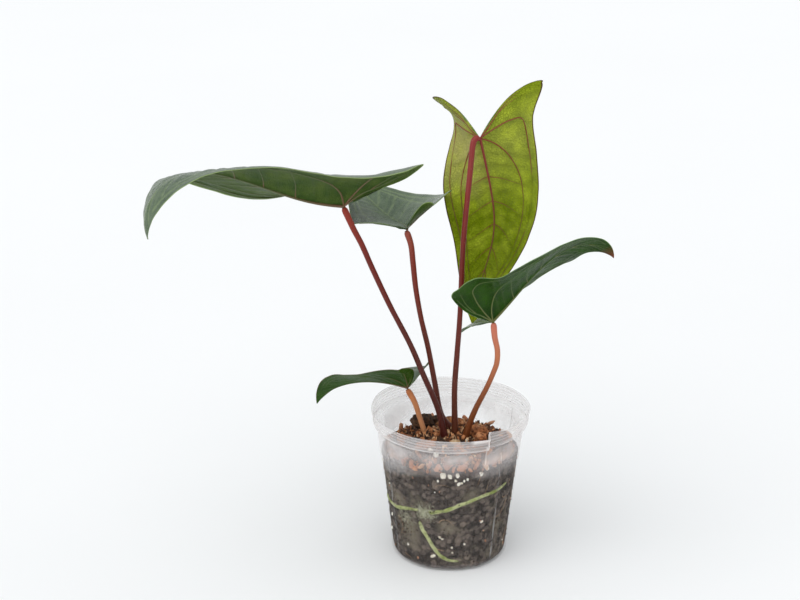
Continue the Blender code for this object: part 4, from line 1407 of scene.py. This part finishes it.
# %% Grain tree
FULL_TURN = 6.283
grain_steps = Steps("grains on points", {"Grains": "Collection", "Seed": "Int", "Smallest": "Float",
                                         "Largest": "Float", "Material": "Material"})
grain_size = grain_steps.node("GeometryNodeInputNamedAttribute", {"data_type": "FLOAT"}, {"Name": "size"})
grain_pick = grain_steps.node("GeometryNodeCollectionInfo", None,
                              {0: grain_steps.given("Grains"), "Separate Children": True,
                               "Reset Children": True})
grain_spin = grain_steps.node("FunctionNodeRandomValue", {"data_type": "FLOAT_VECTOR"},
                              {1: (FULL_TURN,) * 3, "Seed": grain_steps.given("Seed")})
grain_draw = grain_steps.node("FunctionNodeRandomValue", {"data_type": "FLOAT"},
                              {2: grain_steps.given("Smallest"), 3: grain_steps.given("Largest"),
                               "Seed": grain_steps.given("Seed")}, out=1)
grain_tone = grain_steps.node("FunctionNodeRandomValue", {"data_type": "FLOAT"},
                              {2: 0.0, 3: 1.0, "Seed": grain_steps.given("Seed") + 7.0}, out=1)
grain_points = grain_steps.node("GeometryNodeMeshToPoints", None, {0: grain_steps.given("Geometry")})
grain_copies = grain_steps.node("GeometryNodeInstanceOnPoints", None,
                                {"Points": grain_points, "Instance": grain_pick, "Pick Instance": True,
                                 "Rotation": grain_spin, "Scale": grain_draw * grain_size})
grain_copies = grain_steps.node("GeometryNodeStoreNamedAttribute",
                                {"data_type": "FLOAT", "domain": "INSTANCE"},
                                {"Geometry": grain_copies, "Name": "tone", "Value": grain_tone})
grain_steps.finish(grain_copies)


def grains(name, spots, sizes, shapes, seed, material, spread_of_sizes=(1.0, 1.0)):
    """Adds one piece: a copy of a shape at each spot, its size varied within spread_of_sizes."""
    mesh = bpy.data.meshes.new(name + "_spots")
    mesh.from_pydata([tuple(s) for s in spots], [], [])
    add_values(mesh, "size", sizes)
    made = grain_steps.run(add_object(name + "_spots", mesh), name,
                           {"Grains": shapes, "Seed": seed, "Smallest": spread_of_sizes[0],
                            "Largest": spread_of_sizes[1], "Material": material})
    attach(made, "root")
    print(name + ":", len(spots))

# %% [markdown]
# ## Grain finishes
# Each grain's tone picks its colour from a ramp, and a fine cloud breaks the colour up.

# %% Grain finishes
def tone_paint(name, stops, roughness, depth, scale=700.0):
    paint = Paint(name, roughness, 0.35)
    grain = paint.cloud(scale, 3.0)
    tone = paint.attribute("tone") + 0.35 * (grain - 0.5)
    paint.feed("Base Color", paint.ramp(stops, tone))
    paint.feed("Roughness", roughness + 0.2 * (grain - 0.5))
    paint.bump(grain, depth)
    return paint.material


crumb_finish = tone_paint("bark_crumb", ((0.0, (0.022, 0.010, 0.006)),
                                         (0.26, (0.085, 0.032, 0.014)),
                                         (0.50, (0.30, 0.105, 0.038)),
                                         (0.80, (0.56, 0.235, 0.095)),
                                         (1.0, (0.78, 0.52, 0.30))), 0.8, 0.0005)
perlite_finish = tone_paint("perlite", ((0.0, (0.62, 0.55, 0.42)), (0.5, (0.80, 0.75, 0.64)),
                                        (1.0, (0.90, 0.88, 0.80))), 0.75, 0.0003, 1500.0)
dirt_finish = tone_paint("dirt", ((0.0, (0.010, 0.006, 0.004)), (0.6, (0.035, 0.018, 0.010)),
                                  (1.0, (0.10, 0.055, 0.028))), 0.8, 0.0002)
flake_finish = tone_paint("bark_flake", ((0.0, (0.30, 0.105, 0.05)), (0.6, (0.52, 0.22, 0.11)),
                                         (1.0, (0.70, 0.42, 0.26))), 0.8, 0.0003)
print("grain finishes:", crumb_finish.name, perlite_finish.name, dirt_finish.name, flake_finish.name)

# %% [markdown]
# ## Crumbs on the mix
# The mound is strewn with bark crumbs of six sizes, closer together towards the middle. The
# tops of the big chips stay bare.

# %% Crumbs on the mix
CRUMB_COUNT = 1250
CRUMB_SIZES = (1.6, 2.0, 2.4, 3.0, 3.8, 5.0)  # mm
draw = random.Random(11)
chip_boxes = [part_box(node) for node in CHIP_BARKS]


def on_chip(x, y):
    """True over the middle of a big chip, which stays bare."""
    for low, high in chip_boxes:
        across, along = (high.x - low.x) / 2, (high.y - low.y) / 2
        if ((x - low.x - across) / across) ** 2 + ((y - low.y - along) / along) ** 2 < 0.75:
            return True
    return False


spots, sizes = [], []
for _ in range(CRUMB_COUNT):
    r = (inner_radius(MIX_EDGE) - 3.5 * MM) * draw.random() ** 0.58
    a = draw.uniform(0, 2 * math.pi)
    size = draw.choice(CRUMB_SIZES) * MM
    x, y = r * math.cos(a), r * math.sin(a)
    if on_chip(x, y):
        continue
    spots.append((x, y, float(mix_top(np.array(r))) + 0.20 * size))
    sizes.append(size)
grains("bark_crumbs", spots, sizes, crumb_shapes, 5, crumb_finish, (0.8, 1.25))

# %% [markdown]
# ## Perlite at the wall
# The grains that the eye picks out are listed one by one, by their angle round the pot and their
# height. Drawn ones fill the sides between them. Above the mix's edge a grain lies on the
# mound.

# %% Perlite at the wall
PERLITE = (  # degrees round the pot, height in mm, size in mm
    (-91, 76.0, 3.2), (-84.5, 76.4, 3.6), (-101, 72.8, 2.2), (-83.5, 70.6, 3.0), (-79, 72.6, 2.3),
    (-86, 73.2, 2.2), (-81, 71.0, 2.0), (-76, 73.5, 2.4), (-63.5, 75.6, 3.4), (-56, 77.2, 2.8),
    (-59.5, 37.7, 3.6), (-76, 22.0, 2.6), (-88.5, 19.7, 2.2), (-136, 15.8, 3.4), (-88, 15.5, 1.6),
    (-100.5, 27.6, 2.8), (-97.5, 26.6, 2.8), (-108.5, 11.5, 3.0), (-106, 12.3, 2.4),
    (-123, 87.0, 4.0), (-110, 85.5, 3.8), (-96.5, 76.2, 5.0), (-104, 63.5, 1.3), (-46, 90.0, 2.2),
)
FLAKES = (  # the same three values
    (-124.5, 72.2, 3.4), (-56, 27.5, 5.6), (-54, 21.5, 4.4), (-58.5, 29.5, 3.6),
    (-128.5, 9.0, 4.4), (-125, 7.5, 3.0), (-67, 27, 2.4), (-36, 30, 4.0), (-62, 39, 2.0),
    (-110, 68, 3.0), (-100, 64, 2.4),
)
draw = random.Random(23)


def drawn_spots(count, low, high, smallest, largest):
    """Drawn angles, heights and sizes on the sides and the back."""
    return [(draw.uniform(-30, 205), draw.uniform(low, high), draw.uniform(smallest, largest))
            for _ in range(count)]


def wall_or_mound(angle, height, size):
    """At the wall where the mix touches it, and on the mound above that."""
    if height < MIX_EDGE / MM + 1:
        return on_wall(angle, height, 0.10 + 0.42 * size)
    share = (height - MIX_EDGE / MM) / (MIX_MOUND / MM + 4)
    r = inner_radius(MIX_EDGE) * math.sqrt(max(0.05, 1 - share)) - 1.5 * MM
    return round_pot(r, angle, float(mix_top(np.array(r))) + 0.35 * size * MM)


white = [*PERLITE, *drawn_spots(46, 8, 74, 1.2, 3.4)]
brown = [*FLAKES, *drawn_spots(60, 6, 84, 1.5, 4.5)]
grains("perlite_grains", [wall_or_mound(*w) for w in white], [size * MM for _, _, size in white],
       perlite_shapes, 3, perlite_finish, (0.95, 1.1))

# %% [markdown]
# ## Shards and flakes
# Shards are the bigger pieces of bark that stand behind the fogged wall. Flakes are small and
# flat, and lie among the crumbs.

# %% Shards and flakes
SHARDS = (  # degrees, height in mm, distance inside the wall in mm, size in mm
    (-80, 82.0, 3.5, 9.0), (-102, 81.5, 3.0, 6.5), (-94, 82.5, 5.0, 6.5), (-109, 83.0, 3.5, 6.0),
    (-67, 82.5, 4.0, 7.0), (-58, 81.5, 3.0, 7.0), (-50, 81.0, 3.5, 6.5), (-43, 80.5, 3.0, 6.5),
    (-35, 81.0, 4.0, 6.0), (-88, 80.0, 4.0, 5.0), (-117, 81.0, 4.0, 6.0), (-127, 80.0, 3.5, 6.0),
    (-138, 79.5, 4.0, 5.5), (-73, 79.5, 3.0, 5.0), (-146, 80.0, 4.0, 5.0), (20, 80.0, 4.0, 6.0),
    (48, 80.5, 4.0, 7.0), (75, 80.0, 4.0, 6.0), (105, 80.5, 4.0, 7.0), (140, 80.0, 4.0, 6.0),
    (170, 80.0, 4.0, 5.5),
)
grains("bark_shards", [on_wall(a, h, inset) for a, h, inset, _ in SHARDS],
       [size * MM for *_, size in SHARDS], shard_shapes, 21, flake_finish)
grains("bark_flakes", [wall_or_mound(*b) for b in brown], [size * MM for _, _, size in brown],
       flake_shapes, 9, flake_finish)

# %% [markdown]
# ## Specks on the wall
# Dirt sticks to the inner side of the wall in patches, with a few specks everywhere and some
# above the mix.

# %% Specks on the wall
DIRT_PATCHES = (  # degrees, height in mm, spread in mm, count
    (-136, 31, 9, 44), (-143, 26, 5, 22), (-118, 38, 8, 20), (-95, 35, 10, 30), (-128, 66, 7, 14),
    (-40, 33, 8, 30), (-52, 62, 12, 20), (-105, 55, 16, 22), (-70, 12, 14, 24), (-150, 55, 10, 18),
    (-75, 66, 10, 14), (-20, 45, 14, 22), (-110, 3, 7, 26), (-60, 4, 8, 26),
)
SCATTERED_SPECKS = 520
SPECKS_ABOVE = 34
spots, sizes = [], []
for angle, height, spread_mm, count in DIRT_PATCHES:
    for _ in range(count):
        h = min(74.0, max(3.0, draw.gauss(height, spread_mm / 2)))
        a = angle + draw.gauss(0, spread_mm / 2) * 1.3
        spots.append(on_wall(a, h, 0.12))
        sizes.append(draw.choice((0.5, 0.7, 0.9, 1.2, 1.6)) * MM)
for _ in range(SCATTERED_SPECKS):
    spots.append(on_wall(draw.uniform(0, 360), 3 + 71 * draw.random(), 0.12))
    sizes.append(draw.choice((0.4, 0.6, 0.9)) * MM)
for _ in range(SPECKS_ABOVE):
    h = draw.uniform(84, 104)
    band = (RIM_RADIUS - 2.4 * MM) / inner_radius(h * MM) if h > LEDGE / MM + 2 else 1.0
    x, y, z = on_wall(draw.uniform(0, 360), h, 0.1)
    spots.append((x * band, y * band, z))
    sizes.append(draw.choice((0.4, 0.6, 0.8)) * MM)
grains("dirt_specks", spots, sizes, dirt_shapes, 17, dirt_finish)

# %% [markdown]
# ## Roots and fibres
# Live roots press against the wall and turn green where light reaches them. They are tubes
# with an uneven girth, which start at the buried stem and taper to a tip.

# %% Roots
STEM_CENTRE = (3 * MM, -0.5 * MM)
ROOT_RADIUS = 2.2 * MM
ROOT_SPACING = 1.2 * MM
ROOT_SIDES = 14
ROOTS = {  # points as (degrees round the pot, height in mm)
    1: ((-172, 44), (-158, 42), (-144, 43), (-130, 46), (-117, 47)),
    2: ((-108, 47), (-94, 50), (-80, 54), (-64, 58), (-48, 59), (-28, 63)),
    3: ((-119, 36), (-112, 26), (-103, 15), (-93, 9.5), (-79, 8)),
    4: ((36, 62), (60, 48), (84, 40), (104, 30)),
}


def root_paint():
    paint = Paint("root", 0.55, 0.35)
    patch = paint.cloud(120.0, 3.0)
    spot = paint.cloud(520.0, 3.0)
    colour = paint.mix(paint.spread(patch, 0.36, 0.64), (0.22, 0.27, 0.05), (0.46, 0.48, 0.24))
    colour = paint.mix(paint.spread(spot, 0.50, 0.62) * 0.55, colour, (0.085, 0.105, 0.02))
    colour = paint.mix(1 - paint.spread(paint.cells(330.0), 0.10, 0.24), colour, (0.035, 0.028, 0.012))
    paint.feed("Base Color", colour)
    paint.feed("Roughness", 0.5 + 0.2 * spot)
    paint.bump(spot, 0.0004)
    return paint.material


def root_path(number):
    wall = [np.array(on_wall(a, h, ROOT_RADIUS / MM)) for a, h in ROOTS[number]]
    centre = np.array([*STEM_CENTRE, min(max(wall[0][2] + 8 * MM, 49 * MM), 75 * MM)])
    inward = centre + (wall[0] - centre) * np.array([0.35, 0.35, 0.0])
    path = even_path([inward] + wall, ROOT_SPACING)
    path[:, 2] += 0.9 * MM * wave(path, 11 * MM, 5.0 + number)
    return path


def root_girth(number, path):
    share = np.linspace(0, 1, len(path))
    uneven = 1 + 0.14 * wave(path, 6 * MM, number)
    return np.maximum(ROOT_RADIUS * (1 - 0.25 * share) * uneven * (1 - share**14), 0.05 * MM)


def press_on_wall(path, size):
    """Moves the points that run near the wall until the root touches it."""
    for point, girth in zip(path, size):
        reach = math.hypot(point[0], point[1])
        at_wall = inner_radius(point[2]) - girth + 0.10 * MM
        if reach > at_wall - 2 * MM:
            point[:2] *= at_wall / reach


root_finish = root_paint()
for number in ROOTS:
    path = root_path(number)
    size = root_girth(number, path)
    press_on_wall(path, size)
    root = tubes(f"root_tube_{number}", [path], [size], ROOT_SIDES, root_finish)
    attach(root, "root")
    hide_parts(f"root_{number}")
print("roots:", len(ROOTS))

# %% [markdown]
# ## Root hairs and fibres
# Two roots carry a pale fuzz of root hairs where they meet the wall. Thin brown husk fibres
# lie against the wall and among the crumbs. All of them are tubes with few sides.

# %% Root hairs and fibres
HAIR_SIDES = 3
FIBRE_SIDES = 5
FIBRE_POINTS = 9
ARC = 1.2                      # degrees round the pot to a millimetre along its wall, about


def hair_patch(angle, height, spread_mm, count, size, seed):
    draw = random.Random(seed)
    paths = []
    for _ in range(count):
        a = angle + draw.gauss(0, spread_mm) * 1.25
        h = height + draw.gauss(0, spread_mm * 0.7)
        turn = draw.uniform(0, 2 * math.pi)
        length = draw.uniform(1.2, 3.2)
        steps = [on_wall(a + 1.25 * length * t * math.cos(turn + t),
                         h + length * t * math.sin(turn + t), 0.15 + 0.25 * draw.random())
                 for t in (0.0, 0.5, 1.0)]
        paths.append(np.array(steps))
    return paths, [np.full(3, size) for _ in paths]


def fibre(draw, low, high, at_wall):
    """A curled fibre against the wall, or one that arches over the mound."""
    a, h = draw.uniform(-200, 160), draw.uniform(low, high)
    turn, length, curl = draw.uniform(0, 2 * math.pi), draw.uniform(5, 15), draw.uniform(-1.6, 1.6)
    steps = np.linspace(0, 1, FIBRE_POINTS)
    if at_wall:
        return np.array([on_wall(a + ARC * length * t * math.cos(turn + curl * t),
                                 min(high, max(low, h + length * t * math.sin(turn + curl * t))),
                                 0.25) for t in steps])
    r, across_turn = 42 * MM * math.sqrt(draw.random()), draw.uniform(0, 2 * math.pi)
    x, y = r * math.cos(a), r * math.sin(a)
    line = []
    for t in steps:
        px = x + 0.6 * length * MM * t * math.cos(across_turn + curl * t)
        py = y + 0.6 * length * MM * t * math.sin(across_turn + curl * t)
        ground = float(mix_top(np.array(math.hypot(px, py))))
        line.append((px, py, ground + (1.0 + 2.6 * math.sin(math.pi * t)) * MM))
    return np.array(line)


def plain_paint(name, first, second, roughness=0.7):
    paint = Paint(name, roughness)
    grain = paint.cloud(300.0, 3.0)
    paint.feed("Base Color", paint.mix(paint.spread(grain, 0.35, 0.65), first, second))
    paint.feed("Roughness", roughness + 0.2 * (grain - 0.5))
    paint.bump(grain, 0.0002)
    return paint.material


def add_tubes(name, paths, sizes, sides, material):
    made = tubes(name, paths, sizes, sides, material)
    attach(made, "root")
    print(name + ":", len(paths))


hair_paths, hair_sizes = hair_patch(-113.5, 46.0, 3.4, 420, 0.055 * MM, 41)
more_paths, more_sizes = hair_patch(-135, 38.0, 4.0, 160, 0.045 * MM, 43)
add_tubes("root_hairs", hair_paths + more_paths, hair_sizes + more_sizes, HAIR_SIDES,
          plain_paint("root_hair", (0.42, 0.43, 0.28), (0.60, 0.60, 0.44)))
draw = random.Random(77)
wall_fibres = [fibre(draw, 6, 80, True) for _ in range(46)]
top_fibres = [fibre(draw, 80, 90, False) for _ in range(60)]
all_fibres = wall_fibres + top_fibres
taper = np.linspace(0.20, 0.07, FIBRE_POINTS) * MM
fibre_sizes = [taper * draw.uniform(0.6, 1.4) for _ in all_fibres]
add_tubes("husk_fibres", all_fibres, fibre_sizes, FIBRE_SIDES,
          plain_paint("husk_fibre", (0.22, 0.11, 0.05), (0.50, 0.32, 0.18)))

# %% [markdown]
# ## The buried stem
# Only its solid is there. It gets a fibrous brown finish, because a curious viewer may look
# between the crumbs.

# %% Stem
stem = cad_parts["stem_base"]
stem.data.materials.clear()
stem.data.materials.append(plain_paint("stem_bark", (0.10, 0.06, 0.03), (0.22, 0.15, 0.08)))
print("stem finish:", stem.data.materials[0].name)

# %% [markdown]
# ## The end

# %% The end
print("the plant is finished")
